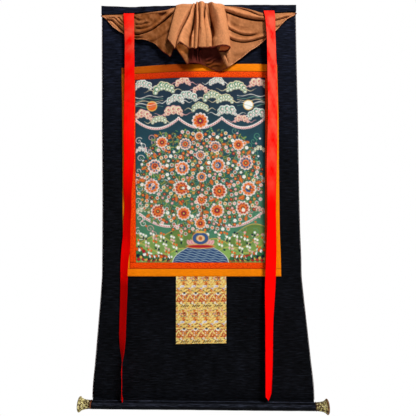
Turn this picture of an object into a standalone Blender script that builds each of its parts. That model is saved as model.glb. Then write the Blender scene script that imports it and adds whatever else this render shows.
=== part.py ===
"""Thangka scroll painting with its bottom roller, hanging from its top edge.

A black ground cloth carries a bordered picture and a brocade "door". A head band runs along its top and
a wooden roller with brass knobs lies in its foot. A brown silk veil is gathered up and thrown forward over
the top, and two red ribbons hang in front of it.

Metres, +Z up. The origin is the middle of the top edge, on the plane of the wall (y = 0). The front faces
-Y, and +X is at the viewer's right. The tables below are in millimetres: x across, drop below the top edge,
out from the wall.
"""

import math

import bpy
import numpy as np

MM = 0.001

# Cloth thicknesses, and the play that is left between pieces
GROUND_THICK = 1.6
PANEL_THICK = 1.2
RIBBON_THICK = 1.2
VEIL_THICK = 1.2
SEAM_PLAY = 0.4

# Roller: a straight dowel that hangs a little askew
ROLLER_RADIUS = 11.0
ROLLER_DROP = 1386.0
ROLLER_OUT = 28.5
ROLLER_MIDDLE = 17.0
ROLLER_TILT = 0.0102
ROLLER_LEFT, ROLLER_RIGHT = -366.0, 400.0
SLEEVE_PLAY = 1.0
SLEEVE_RADIUS = ROLLER_RADIUS + SLEEVE_PLAY + GROUND_THICK / 2
SLEEVE_TURN = math.radians(300)
SLEEVE_FLAP = 5.0
FLAP_START = 1.0
FLAP_LEANS = (1.2, 0.4)

# Ground cloth: where its two sides run, piping included
HEAD_HEIGHT = 30.0
SIDE_DROPS = (0, 190, 400, 540, 680, 785, 890, 940, 992, ROLLER_DROP)
LEFT_SIDE = (-338, -337, -336, -336, -335, -335, -335.5, -336, -340, -368)
RIGHT_SIDE = (339, 342.5, 346, 348, 350.5, 353.5, 357, 359.5, 363.5, 401)
RIPPLE = 1.6
PIPING = 2.0

# Head band: how far its uneven top and foot lie below the top edge along x, and its front
BAND_STOPS = (-338, -264, -240, -200, -100, 221, 280, 339)
BAND_TOP = (1.0, 1.5, 4.0, 2.5, 0.5, 0.0, 0.0, 0.0)
BAND_FOOT = (30.0, 27.2, 25.6, 23.0, 22.3, 25.0, 22.0, 19.5)
BAND_FRONT = 10.0
BAND_ROUND = 2.5

# Picture and its two borders
PICTURE_TOP_STOPS, PICTURE_TOP = (-222, -100, 233), (257.5, 250.8, 249.2)
PICTURE_BOTTOM = 895.5
PICTURE_LEFT = (-222.5, -218.0)
PICTURE_RIGHT = (232.5, 231.5)
INNER_BORDER = 22.0
OUTER_TOP_STOPS, OUTER_TOP = (-271, -219, -100, 127, 232, 288), (214, 210.5, 202.5, 200.8, 200.8, 203.5)
OUTER_BOTTOM = 944.0
OUTER_DROPS = (205, 400, 540, 680, 785, 890, 944)
OUTER_LEFT = (-270.5, -267.8, -266.5, -265.5, -264.8, -264.0, -263.5)
OUTER_RIGHT = (275, 279.7, 280.4, 281.8, 283.4, 287.0, 288.0)

# Brocade door under the borders
DOOR_LEFT, DOOR_RIGHT = -79.0, 96.5
DOOR_BOTTOM = 1180.0

# Ribbons. Columns: drop, x of the middle, out, turn of the face in degrees, towards the viewer's left
RIBBON_WIDTH = 37.5
RIBBON_POINT = 19.0
LEFT_RIBBON = (
    (28.0, -243, 13.2, 0),
    (42.0, -242, 20.5, 4),
    (70.0, -240, 25.5, 6),
    (140.0, -238, 27.0, 7),
    (370.0, -239, 27.0, 6),
    (540.0, -240, 27.0, 12),
    (680.0, -245, 26.5, 43),
    (750.0, -249, 28.5, 47),
    (890.0, -256, 29.0, 36),
    (1080.0, -261, 33.0, 50),
    (1180.0, -261, 36.0, 60),
    (1240.0, -261, 38.0, 70),
    (1369.0, -261, 39.0, 73),
)
RIGHT_RIBBON = (
    (18.5, 245, 13.2, 0),
    (44.0, 248, 20.5, 4),
    (90.0, 250, 26.5, 12),
    (180.0, 253, 27.0, 14),
    (400.0, 257, 26.5, 14),
    (540.0, 256, 26.5, 13),
    (680.0, 251, 26.5, 36),
    (785.0, 251, 26.5, 30),
    (940.0, 248, 28.0, 4),
    (1090.0, 246, 30.0, 28),
    (1230.0, 242.5, 33.0, 45),
    (1367.0, 240.0, 35.5, 56),
)

# Veil, spread as a swag from corner to corner.
# Columns: x, drop and out of the upper edge, out half-way down, x, drop and out of the hem
SWAG = (
    (-342, 31.5, 6.0, 6.5, -341, 36, 6.5),
    (-321, 31.0, 6.5, 8.0, -325, 44, 8.0),
    (-296, 30.5, 7.0, 11.0, -301, 72, 9.0),
    (-264, 30.0, 7.5, 14.0, -267, 95, 10.0),
    (-222, 29.0, 8.5, 15.5, -220, 117, 12.0),
    (-194, 27.5, 11.5, 17.0, -183, 122, 14.0),
    (-166, 24.0, 13.5, 18.0, -151, 136, 16.0),
    (-138, 21.0, 14.5, 20.0, -127, 162, 20.0),
    (-110, 17.0, 15.5, 22.0, -107, 176, 24.0),
    (-92, 11.0, 16.0, 24.0, -96, 183, 27.0),
    (-79, 9.0, 16.0, 25.0, -85, 157, 24.0),
    (-58, 6.0, 16.0, 27.0, -61, 178, 32.0),
    (-41, 5.0, 16.0, 27.0, -40, 209, 36.0),
    (-33, 5.0, 16.0, 22.0, -36, 203, 24.0),
    (-16, 2.0, 16.0, 19.0, -20, 197, 17.0),
    (26, -1.0, 16.0, 18.0, 18, 213, 17.0),
    (53, 1.0, 16.0, 18.0, 48, 227, 18.0),
    (80, 5.0, 16.0, 19.0, 81, 231, 21.0),
    (90, 9.0, 16.0, 25.0, 97, 225, 33.0),
    (105, 9.0, 15.5, 24.0, 118, 209, 29.0),
    (144, 12.0, 15.0, 21.0, 154, 180, 22.0),
    (168, 15.0, 14.5, 20.0, 178, 161, 19.0),
    (195, 20.5, 13.5, 19.0, 203, 145, 17.0),
    (221, 27.0, 11.0, 17.0, 227, 125, 15.0),
    (267, 25.5, 7.5, 14.0, 273, 84, 12.0),
    (288, 24.5, 7.0, 11.5, 291, 63, 10.0),
    (312, 23.0, 6.5, 9.0, 311, 45, 8.0),
    (342, 22.5, 6.0, 6.5, 343, 27, 6.5),
)
# Folds of the swag. Columns: the x where a fold starts and ends, its place there from the upper edge (0) to
# the hem (1), how far that line bows, its half-width, its height, and the dip under it
SWAG_FOLDS = (
    (-335, -255, 0.30, 0.70, 0.00, 7, 3.0, 1.5),
    (-330, -270, 0.86, 0.90, 0.00, 5, 2.0, 0.0),
    (-240, -84, 0.64, 0.02, 0.05, 8, 6.0, 7.0),
    (-225, -96, 0.92, 0.34, 0.10, 14, 4.0, 0.0),
    (-215, -96, 0.24, 0.10, 0.00, 15, -5.0, 0.0),
    (92, 232, 0.05, 0.20, 0.00, 10, 8.0, 6.0),
    (92, 222, 0.34, 0.64, 0.05, 10, 5.5, 6.0),
    (94, 236, 0.54, 0.82, 0.04, 9, 5.5, 5.0),
    (268, 335, 0.28, 0.50, 0.00, 8, 2.5, 1.5),
)
# The dip under a fold: its place and half-width, both in half-widths of the fold
DIP_PLACE, DIP_WIDTH = 1.7, 0.8
# The folds fade out this near to the upper edge, which keeps them clear of the head band
CALM_EDGE = 12.0
# Crest of the bunch, where the veil turns over and forward
CREST_STOPS = (-79, -60, -29, -16, -5, 21, 46, 53, 81, 90)
CREST_DROPS = (5, 1, 2, -1, -6, -5, -5, 1, 3, 7)
CREST_RISE = 5.0
# Pleats of the bunch that falls in front. One row for each crease, from the left edge to the right one.
# Columns: x at the crest, half-way and at the hem, the drop of the hem there, and how deep the crease sinks
CREASES = (
    (-79, -94, -106, 128, 2),
    (-27, -51, -79, 163, 7),
    (-13, -18, -27, 163, 7),
    (0, 2, -1, 161, 4),
    (22, 15, 12, 163, 3),
    (27, 39, 53, 163, 6),
    (90, 104, 110, 154, 2),
)
# One row for each pleat between two creases. Columns: its swell at the crest, half-way and at the hem, the drop
# of the hem at its middle, and its number of columns
PLEATS = (
    (4, 9, 9, 146, 7),
    (3, 9, 15, 147, 7),
    (4, 7, 10, 171, 5),
    (5, 7, 6, 164, 4),
    (2, 8, 11, 165, 6),
    (6, 13, 12, 161, 8),
)
BUNCH_STOPS = (0.0, 0.2, 0.5, 1.0)
BUNCH_OUT = (30.0, 35.0, 38.0, 40.0)
STEEPEST_PLEAT = 0.45
# Exponents of the sines that round a pleat, its hem and the sinking of its creases
PLEAT_ROUND, HEM_ROUND, SINK_ROUND = 0.75, 1.2, 0.5
SINK_START = 0.1

# Knob: along from the end of the cloth, and radius, from the bottom of its socket round to its end
SOCKET_DEPTH, SOCKET_RADIUS = 10.0, ROLLER_RADIUS + 0.5
KNOB_GAP = 1.5
KNOB_PROFILE = (
    (SOCKET_DEPTH, 0.0),
    (SOCKET_DEPTH, SOCKET_RADIUS),
    (0.0, SOCKET_RADIUS),
    (0.0, 13.6),
    (1.5, 14.8),
    (3.5, 15.0),
    (5.5, 14.0),
    (13.0, 14.2),
    (21.0, 15.0),
    (28.0, 16.6),
    (33.5, 19.0),
    (37.5, 21.9),
    (40.5, 24.8),
    (42.5, 25.2),
    (44.0, 24.3),
    (45.0, 20.5),
    (46.5, 13.0),
    (47.5, 6.0),
    (47.8, 0.0),
)
KNOB_SIDES = 28


# ---------------------------------------------------------------- curves and meshes


def soft(at, stops, values):
    """Reads a smooth curve through a table: cubic pieces whose slopes are the table's own."""
    stops = np.asarray(stops, float)
    values = np.asarray(values, float)
    at = np.clip(at, stops[0], stops[-1])
    slopes = np.gradient(values, stops)
    piece = np.clip(np.searchsorted(stops, at, side="right") - 1, 0, len(stops) - 2)
    span = stops[piece + 1] - stops[piece]
    t = (at - stops[piece]) / span
    return (
        values[piece] * (1 + 2 * t) * (1 - t) ** 2
        + values[piece + 1] * t * t * (3 - 2 * t)
        + span * t * (1 - t) * (slopes[piece] * (1 - t) - slopes[piece + 1] * t)
    )


def ease(t):
    """A smooth step from 0 to 1."""
    t = np.clip(t, 0, 1)
    return t * t * (3 - 2 * t)


def grid_faces(rows, columns):
    """The four corners of every cell of a grid whose points are numbered row by row."""
    first = (np.arange(rows - 1)[:, None] * columns + np.arange(columns - 1)).reshape(-1, 1)
    return first + np.array([0, 1, columns + 1, columns])


def material(name, colour, roughness, metallic=0.0):
    made = bpy.data.materials.new(name)
    made.use_nodes = True
    shader = made.node_tree.nodes["Principled BSDF"]
    shader.inputs["Base Color"].default_value = (*colour, 1.0)
    shader.inputs["Roughness"].default_value = roughness
    shader.inputs["Metallic"].default_value = metallic
    return made


def place(name, points, faces, finish, smooth=True):
    """Makes an object from points given as x, drop and out in millimetres."""
    x, drop, out = np.moveaxis(np.asarray(points, float).reshape(-1, 3), 1, 0)
    mesh = bpy.data.meshes.new(name)
    mesh.from_pydata((np.stack([x, -out, -drop], 1) * MM).tolist(), [], [list(map(int, f)) for f in faces])
    mesh.validate()
    if smooth:
        mesh.shade_smooth()
    mesh.materials.append(finish)
    made = bpy.data.objects.new(name, mesh)
    bpy.context.scene.collection.objects.link(made)
    return made


def thicken(made, thickness):
    """Gives a sheet its thickness, half to each side."""
    solidify = made.modifiers.new("Thickness", "SOLIDIFY")
    solidify.thickness = thickness * MM
    solidify.offset = 0.0
    return made


def sheet(name, x, drop, out, thickness, finish):
    """A sheet of cloth from its middle surface, as three arrays of rows and columns."""
    points = np.stack(np.broadcast_arrays(x, drop, out), -1)
    return thicken(place(name, points, grid_faces(*points.shape[:2]), finish), thickness)


# ---------------------------------------------------------------- ground cloth


def roller_drop(x):
    """The drop of the roller's axis at x."""
    return ROLLER_DROP + ROLLER_TILT * (x - ROLLER_MIDDLE)


def ground_out(x, drop):
    """The middle surface of the hanging cloth: from the wall at its head to the back of the roller."""
    fall = np.clip((drop - HEAD_HEIGHT) / (ROLLER_DROP - HEAD_HEIGHT), 0, 1)
    back, foot = GROUND_THICK / 2, ROLLER_OUT - SLEEVE_RADIUS
    wave = np.sin(x / 95 + 0.6) * np.sin(drop / 150 + 0.4)
    return back + (foot - back) * fall + RIPPLE * wave * ease(4 * fall) * ease(8 * (1 - fall))


def on_ground(x, drop, thickness):
    """The middle surface of a sheet that lies on the front of the ground cloth."""
    return ground_out(x, drop) + GROUND_THICK / 2 + SEAM_PLAY + thickness / 2


def ground_side(drop, sides):
    return soft(drop, SIDE_DROPS, sides)


def make_ground_cloth(finish, columns=14, rows=30, sleeve_rows=13):
    """One length: down the wall, then round the back, foot and front of the roller, and sewn to itself."""
    inset = PIPING + SEAM_PLAY
    across = np.linspace(0, 1, columns + 1)
    drop = np.linspace(0, ROLLER_DROP, rows + 1)[:, None] * np.ones_like(across)
    left, right = ground_side(drop, LEFT_SIDE) + inset, ground_side(drop, RIGHT_SIDE) - inset
    x = left + (right - left) * across
    drop = drop + (roller_drop(x) - ROLLER_DROP) * ease((drop / ROLLER_DROP - 0.9) * 10)
    out = ground_out(x, drop)
    foot_x = x[-1] * np.ones((sleeve_rows, 1))
    turn = np.linspace(0, SLEEVE_TURN, sleeve_rows + 1)[1:, None]
    sleeve_drop = roller_drop(foot_x) + SLEEVE_RADIUS * np.sin(turn)
    sleeve_out = ROLLER_OUT - SLEEVE_RADIUS * np.cos(turn) + 0 * foot_x
    flap_out = ROLLER_OUT - SLEEVE_RADIUS + GROUND_THICK + SEAM_PLAY
    flap_drop = roller_drop(x[-1:]) - SLEEVE_RADIUS - np.array([[FLAP_START], [SLEEVE_FLAP]])
    flap_x = x[-1] * np.ones((2, 1))
    lean = np.array(FLAP_LEANS)[:, None]
    sheet(
        "ground_cloth",
        np.vstack([x, foot_x, flap_x]),
        np.vstack([drop, sleeve_drop, flap_drop]),
        np.vstack([out, sleeve_out, flap_out + lean + 0 * flap_drop]),
        GROUND_THICK,
        finish,
    )


def make_piping(name, sides, sign, finish, rows=34):
    """A maroon piping along one side of the ground cloth: a four-sided cord of cloth."""
    drop = np.linspace(0, ROLLER_DROP - SLEEVE_RADIUS - 2 * PIPING - SLEEVE_FLAP, rows + 1)
    edge = ground_side(drop, sides) - sign * PIPING / 2
    middle = np.stack([edge, drop, ground_out(edge, drop)], 1)
    corners = np.array([(-1, -1), (1, -1), (1, 1), (-1, 1)]) * PIPING / 2
    ring = np.zeros((4, 3))
    ring[:, [0, 2]] = corners
    points = (middle[:, None, :] + ring).reshape(-1, 3)
    row = np.arange(rows)[:, None] * 4
    corner = np.arange(4)
    following = (corner + 1) % 4
    walls = np.stack([row + corner, row + following, row + following + 4, row + corner + 4], -1).reshape(-1, 4)
    last = rows * 4
    caps = [[3, 2, 1, 0], [last, last + 1, last + 2, last + 3]]
    place(name, points, walls.tolist() + caps, finish, smooth=False)


def make_head_band(finish, columns=16):
    """The cloth-covered bar along the top edge, with rounded edges."""
    across = np.linspace(BAND_STOPS[0], BAND_STOPS[-1], columns + 1)
    top, foot = soft(across, BAND_STOPS, BAND_TOP), soft(across, BAND_STOPS, BAND_FOOT)
    back, front, bend = GROUND_THICK + SEAM_PLAY, BAND_FRONT, BAND_ROUND
    # Section, from the lower back corner round the front. Columns: out, share of the height, and an inset
    section = (
        (back, 1, 0.0),
        (front - bend, 1, 0.0),
        (front - 0.3 * bend, 1, -0.3 * bend),
        (front, 1, -bend),
        (front, 0, bend),
        (front - 0.3 * bend, 0, 0.3 * bend),
        (front - bend, 0, 0.0),
        (back, 0, 0.0),
    )
    out, share, inset = np.array(section).T
    drop = top[:, None] + (foot - top)[:, None] * share + inset
    points = np.stack(np.broadcast_arrays(across[:, None], drop, out), -1)
    sides = len(section)
    walls = [
        [
            ring * sides + side,
            (ring + 1) * sides + side,
            (ring + 1) * sides + (side + 1) % sides,
            ring * sides + (side + 1) % sides,
        ]
        for ring in range(columns)
        for side in range(sides)
    ]
    caps = [list(range(sides)), [columns * sides + side for side in reversed(range(sides))]]
    place("head_band", points, walls + caps, finish, smooth=False)


# ---------------------------------------------------------------- picture, borders and door


def make_panel(name, left, right, top, bottom, columns, rows, finish):
    """A flat panel on the ground cloth. left and right give x at a drop, top and bottom the drop at an x."""
    across = np.linspace(0, 1, columns + 1)[None, :]
    down = np.linspace(0, 1, rows + 1)[:, None]
    drop = OUTER_TOP[0] + (OUTER_BOTTOM - OUTER_TOP[0]) * down + 0 * across
    for _ in range(4):
        x = left(drop) + (right(drop) - left(drop)) * across
        drop = top(x) + (bottom(x) - top(x)) * down
    sheet(name, x, drop, on_ground(x, drop, PANEL_THICK), PANEL_THICK, finish)


def make_borders(inner_finish, outer_finish, picture_finish):
    """The picture, and two rings of four strips each. The strips at the top and foot run the full width."""
    ends = (PICTURE_TOP[0], PICTURE_BOTTOM)

    def picture_left(drop):
        return np.interp(drop, ends, PICTURE_LEFT)

    def picture_right(drop):
        return np.interp(drop, ends, PICTURE_RIGHT)

    def picture_top(x):
        return soft(x, PICTURE_TOP_STOPS, PICTURE_TOP)

    def level(value):
        return lambda at: value + 0 * at

    def moved(edge, by):
        return lambda at: edge(at) + by

    rings = (
        (picture_left, picture_right, picture_top, level(PICTURE_BOTTOM)),
        (
            moved(picture_left, -INNER_BORDER),
            moved(picture_right, INNER_BORDER),
            moved(picture_top, -INNER_BORDER),
            level(PICTURE_BOTTOM + INNER_BORDER),
        ),
        (
            lambda drop: soft(drop, OUTER_DROPS, OUTER_LEFT),
            lambda drop: soft(drop, OUTER_DROPS, OUTER_RIGHT),
            lambda x: soft(x, OUTER_TOP_STOPS, OUTER_TOP),
            level(OUTER_BOTTOM),
        ),
    )
    make_panel("picture_panel", *rings[0], 10, 14, picture_finish)
    gap = SEAM_PLAY
    for name, inside, outside, finish in (
        ("inner_border", rings[0], rings[1], inner_finish),
        ("outer_border", rings[1], rings[2], outer_finish),
    ):
        inner_left, inner_right, inner_top, inner_bottom = inside
        left, right, top, bottom = outside
        far = SEAM_PLAY if name == "inner_border" else 0.0
        left, right = moved(left, far), moved(right, -far)
        top, bottom = moved(top, far), moved(bottom, -far)
        make_panel(f"{name}_top", left, right, top, moved(inner_top, -gap), 10, 1, finish)
        make_panel(f"{name}_bottom", left, right, moved(inner_bottom, gap), bottom, 10, 1, finish)
        make_panel(f"{name}_left", left, moved(inner_left, -gap), inner_top, inner_bottom, 1, 14, finish)
        make_panel(f"{name}_right", moved(inner_right, gap), right, inner_top, inner_bottom, 1, 14, finish)


def make_door(finish, columns=4, rows=6):
    across = np.linspace(DOOR_LEFT, DOOR_RIGHT, columns + 1)[None, :]
    drop = np.linspace(OUTER_BOTTOM + SEAM_PLAY, DOOR_BOTTOM, rows + 1)[:, None]
    x, drop = np.broadcast_arrays(across, drop)
    sheet("door_panel", x, drop, on_ground(x, drop, PANEL_THICK), PANEL_THICK, finish)


# ---------------------------------------------------------------- ribbons


def make_ribbon(name, table, finish, rows=36, columns=4):
    """A ribbon that hangs by its head, slowly turning, with a pointed end."""
    drops, middles, outs, turns = np.array(table, float).T
    across = np.linspace(-1, 1, columns + 1)[None, :]
    down = np.linspace(0, 1, rows + 1)[:, None]
    end = drops[-1] - RIBBON_POINT * np.abs(across)
    drop = drops[0] + (end - drops[0]) * down
    turn = np.radians(soft(drop, drops, turns))
    half = RIBBON_WIDTH / 2 * across
    x = soft(drop, drops, middles) + half * np.cos(turn)
    out = soft(drop, drops, outs) + half * np.sin(turn)
    sheet(name, x, drop, out, RIBBON_THICK, finish)


# ---------------------------------------------------------------- veil


def swag_point(x_top, share):
    """The swag at the column that starts at x_top on its upper edge, a share of the way to its hem."""
    table = np.array(SWAG, float)
    stops = table[:, 0]
    drop_top, out_top, out_mid, x_low, drop_low, out_low = (soft(x_top, stops, c) for c in table[:, 1:].T)
    length = np.hypot(x_low - x_top, drop_low - drop_top)
    x = x_top + (x_low - x_top) * share
    drop = drop_top + (drop_low - drop_top) * share
    out = (
        out_top * (1 - share) * (1 - 2 * share)
        + out_mid * 4 * share * (1 - share)
        + out_low * share * (2 * share - 1)
    )
    for start, stop, share_start, share_stop, bow, half_width, height, dip in SWAG_FOLDS:
        along = (x_top - start) / (stop - start)
        ends = ease(5 * along) * ease(5 * (1 - along))
        line = share_start + (share_stop - share_start) * along + bow * 4 * along * (1 - along)
        off = (share - line) * length / half_width
        out = out + ends * (height * np.exp(-(off**2)) - dip * np.exp(-(((off - DIP_PLACE) / DIP_WIDTH) ** 2)))
    return x, drop, out_top + (out - out_top) * ease(share * length / CALM_EDGE)


def pleat_columns():
    """The columns of the bunch: the crease before each, the share of its pleat, and the pleat's own table."""
    index, share = [], []
    for number, (*_, count) in enumerate(PLEATS):
        index += [number] * count
        share += [step / count for step in range(count)]
    return np.array(index + [len(PLEATS) - 1]), np.array(share + [1.0])


def bunch_point(index, share, fall):
    """The bunch in front, at a column and a share of its fall from the crest (0) to the hem (1)."""
    creases, pleats = np.array(CREASES, float), np.array(PLEATS, float)
    places = (0.0, 0.5, 1.0)

    def at_fall(three):
        """A parabola through the values at the crest, half-way and at the hem."""
        top, middle, low = three[..., 0], three[..., 1], three[..., 2]
        bow = middle - (top + low) / 2
        return top + (low - top) * fall + bow * 4 * fall * (1 - fall)

    before, after = at_fall(creases[index, :3]), at_fall(creases[index + 1, :3])
    x = before + (after - before) * share
    crest_x = creases[index, 0] + (creases[index + 1, 0] - creases[index, 0]) * share
    crest = soft(crest_x, CREST_STOPS, CREST_DROPS) + CREST_RISE
    ends = creases[index, 3] * (1 - share) + creases[index + 1, 3] * share
    middle = (creases[index, 3] + creases[index + 1, 3]) / 2
    hem = ends + (pleats[index, 3] - middle) * np.sin(np.pi * share) ** HEM_ROUND
    swell = np.minimum(at_fall(pleats[index, :3]), STEEPEST_PLEAT * (after - before))
    sink = creases[index, 4] * (1 - share) + creases[index + 1, 4] * share
    sink = np.minimum(sink, STEEPEST_PLEAT * (after - before))
    sink = sink * np.sin(np.pi * np.clip(fall + SINK_START, 0, 1)) ** SINK_ROUND
    out = soft(fall, BUNCH_STOPS, BUNCH_OUT) - sink + (swell + sink) * np.sin(np.pi * share) ** PLEAT_ROUND
    return x, crest + (hem - crest) * fall, out


def make_veil(finish, left_columns=20, right_columns=18, swag_rows=14, crest_rows=4, fall_rows=13):
    """One cloth: the swag, and in its middle a bunch that goes up over the crest and down in front."""
    index, share = pleat_columns()
    creases = np.array(CREASES, float)
    crest_x = creases[index, 0] + (creases[index + 1, 0] - creases[index, 0]) * share
    left = np.linspace(SWAG[0][0], crest_x[0], left_columns, endpoint=False)
    right = np.linspace(SWAG[-1][0], crest_x[-1], right_columns, endpoint=False)[::-1]
    x_top = np.concatenate([left, crest_x, right])[None, :]
    down = np.linspace(1, 0, swag_rows + 1)[:, None]
    swag = np.stack(np.broadcast_arrays(*swag_point(x_top, down)), -1)

    # The crest: half an ellipse from the swag's upper edge to the head of the pleats
    start = swag[-1, left_columns : left_columns + len(crest_x)]
    head = np.stack(bunch_point(index, share, np.zeros_like(crest_x)), -1)
    turn = np.linspace(0, np.pi, crest_rows + 1)[1:-1, None, None]
    blend = (1 - np.cos(turn)) / 2
    crest = start + (head - start) * blend
    crest[..., 1] -= CREST_RISE * np.sin(turn[..., 0])
    fall = np.linspace(0, 1, fall_rows + 1)[:, None]
    bunch = np.stack(np.broadcast_arrays(*bunch_point(index, share, fall)), -1)
    over = np.concatenate([crest, bunch])

    width = x_top.size
    swag_faces = grid_faces(swag_rows + 1, width)
    base, first = swag_rows * width + left_columns, swag.shape[0] * width
    over_faces = grid_faces(len(over), len(crest_x)) + first
    column = np.arange(len(crest_x) - 1)
    join = np.stack([base + column, base + column + 1, first + column + 1, first + column], 1)
    points = np.concatenate([swag.reshape(-1, 3), over.reshape(-1, 3)])
    faces = np.concatenate([swag_faces, join, over_faces])
    thicken(place("veil", points, faces, finish), VEIL_THICK)


# ---------------------------------------------------------------- roller and knobs


def turned(name, profile, sides, finish):
    """A turned piece on the X axis, from a profile of along and radius that starts and ends on the axis."""
    turn = np.linspace(0, 2 * np.pi, sides, endpoint=False)
    along = np.array([a for a, r in profile[1:-1]])[:, None]
    radius = np.array([r for a, r in profile[1:-1]])[:, None]
    rings = np.stack([along + 0 * turn, radius * np.cos(turn), radius * np.sin(turn)], -1) * MM
    ends = np.array([(profile[0][0], 0, 0), (profile[-1][0], 0, 0)]) * MM
    points = np.concatenate([rings.reshape(-1, 3), ends])
    side = np.arange(sides)
    following = (side + 1) % sides
    ring = np.arange(len(along) - 1)[:, None] * sides
    walls = np.stack([ring + side, ring + following, ring + sides + following, ring + sides + side], -1)
    last, first_end, last_end = (len(along) - 1) * sides, len(points) - 2, len(points) - 1
    caps = np.concatenate(
        [
            np.stack([following, side, np.full(sides, first_end)], 1),
            np.stack([last + side, last + following, np.full(sides, last_end)], 1),
        ]
    )
    faces = walls.reshape(-1, 4).tolist() + caps.tolist()
    mesh = bpy.data.meshes.new(name)
    mesh.from_pydata(points.tolist(), [], faces)
    mesh.shade_smooth()
    mesh.set_sharp_from_angle(angle=math.radians(40))
    mesh.materials.append(finish)
    made = bpy.data.objects.new(name, mesh)
    bpy.context.scene.collection.objects.link(made)
    return made


def make_roller(wood, brass):
    """The dowel and its two knobs, along one tilted axis."""
    axis = bpy.data.objects.new("roller_axis", None)
    axis.location = (ROLLER_MIDDLE * MM, -ROLLER_OUT * MM, -ROLLER_DROP * MM)
    axis.rotation_euler = (0, ROLLER_TILT, 0)
    bpy.context.scene.collection.objects.link(axis)
    reach = SOCKET_DEPTH - KNOB_GAP - SEAM_PLAY
    start, stop = ROLLER_LEFT - ROLLER_MIDDLE - reach, ROLLER_RIGHT - ROLLER_MIDDLE + reach
    dowel = ((start, 0), (start, ROLLER_RADIUS), (stop, ROLLER_RADIUS), (stop, 0))
    turned("roller", dowel, 24, wood).parent = axis
    for name, end, outward in (("knob_left", ROLLER_LEFT, -1), ("knob_right", ROLLER_RIGHT, 1)):
        knob = turned(name, KNOB_PROFILE, KNOB_SIDES, brass)
        knob.parent = axis
        knob.location.x = (end - ROLLER_MIDDLE + outward * KNOB_GAP) * MM
        knob.rotation_euler.z = 0 if outward > 0 else math.pi


def main():
    for old in list(bpy.data.objects):
        bpy.data.objects.remove(old, do_unlink=True)
    black = material("ground_black", (0.012, 0.015, 0.022), 0.85)
    maroon = material("piping_maroon", (0.09, 0.012, 0.016), 0.7)
    picture = material("picture_cloth", (0.16, 0.24, 0.19), 0.6)
    orange_red = material("inner_border_silk", (0.82, 0.07, 0.01), 0.55)
    orange_yellow = material("outer_border_silk", (0.80, 0.25, 0.015), 0.5)
    brocade = material("door_brocade", (0.62, 0.33, 0.06), 0.45)
    brown = material("veil_silk", (0.38, 0.17, 0.075), 0.55)
    red = material("ribbon_red", (0.85, 0.012, 0.006), 0.45)
    wood = material("roller_wood", (0.20, 0.07, 0.03), 0.6)
    brass = material("knob_brass", (0.34, 0.25, 0.11), 0.35, 1.0)
    make_ground_cloth(black)
    make_head_band(black.copy())
    make_piping("edge_piping_left", LEFT_SIDE, -1, maroon)
    make_piping("edge_piping_right", RIGHT_SIDE, 1, maroon)
    make_borders(orange_red, orange_yellow, picture)
    make_door(brocade)
    make_ribbon("ribbon_left", LEFT_RIBBON, red)
    make_ribbon("ribbon_right", RIGHT_RIBBON, red)
    make_veil(brown)
    make_roller(wood, brass)


main()
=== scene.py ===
"""Looks of the hanging scroll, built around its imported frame.

Run as a script it registers the panel and its operators, builds every piece once and lights the scene.
The tables are in millimetres: x across, drop below the top edge, out from the wall. The row frame has
its origin in the middle of the top edge on the wall, +X to the viewer's right, +Z up, and the front faces -Y.
"""

import math

import bpy
import numpy as np
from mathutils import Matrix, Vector


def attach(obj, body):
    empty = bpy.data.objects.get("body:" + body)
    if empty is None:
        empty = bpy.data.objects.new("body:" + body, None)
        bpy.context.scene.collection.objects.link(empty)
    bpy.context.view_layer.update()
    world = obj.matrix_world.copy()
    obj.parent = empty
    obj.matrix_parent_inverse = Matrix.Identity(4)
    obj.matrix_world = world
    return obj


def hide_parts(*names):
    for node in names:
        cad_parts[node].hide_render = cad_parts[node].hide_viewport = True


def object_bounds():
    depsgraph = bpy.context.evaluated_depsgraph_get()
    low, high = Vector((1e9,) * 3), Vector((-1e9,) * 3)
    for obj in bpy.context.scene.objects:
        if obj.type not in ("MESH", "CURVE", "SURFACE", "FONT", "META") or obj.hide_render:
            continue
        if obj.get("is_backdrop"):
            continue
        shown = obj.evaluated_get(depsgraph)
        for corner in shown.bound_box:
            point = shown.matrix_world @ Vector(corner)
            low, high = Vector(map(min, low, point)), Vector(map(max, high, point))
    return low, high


bl_info = {
    "name": "Hanging Scroll Looks",
    "version": (1, 0, 0),
    "blender": (4, 5, 0),
    "location": "View3D > Sidebar > Scroll",
    "description": "Makes the cloths, ribbons and knobs of a hanging scroll around its packed frame",
    "category": "Object",
}

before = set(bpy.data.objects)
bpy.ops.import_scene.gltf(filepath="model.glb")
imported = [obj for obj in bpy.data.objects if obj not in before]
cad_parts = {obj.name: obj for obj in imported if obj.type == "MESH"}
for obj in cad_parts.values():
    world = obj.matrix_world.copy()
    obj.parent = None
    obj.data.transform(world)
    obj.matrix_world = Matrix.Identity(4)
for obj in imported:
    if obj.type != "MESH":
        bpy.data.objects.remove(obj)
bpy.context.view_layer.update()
BODY = "root"
MM = 0.001

# ---------------------------------------------------------------- sizes, in millimetres

# They are the part's own, with finer turns, folds and edges where the cloths and ribbons show them.
# x is across, drop is down from the top edge and out is from the wall

GROUND_THICK = 1.6
PANEL_THICK = 1.2
SEAM_PLAY = 0.4

ROLLER_RADIUS = 11.0
ROLLER_DROP = 1386.0
ROLLER_OUT = 28.5
ROLLER_MIDDLE = 17.0
ROLLER_TILT = 0.0102
ROLLER_LEFT, ROLLER_RIGHT = -366.0, 400.0
SLEEVE_RADIUS = ROLLER_RADIUS + 1.0 + GROUND_THICK / 2
SLEEVE_TURN = math.radians(300)
SLEEVE_FLAP = 5.0
# How far down the cloth its flap starts, for the weave
FLAP_START = 1460

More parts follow.
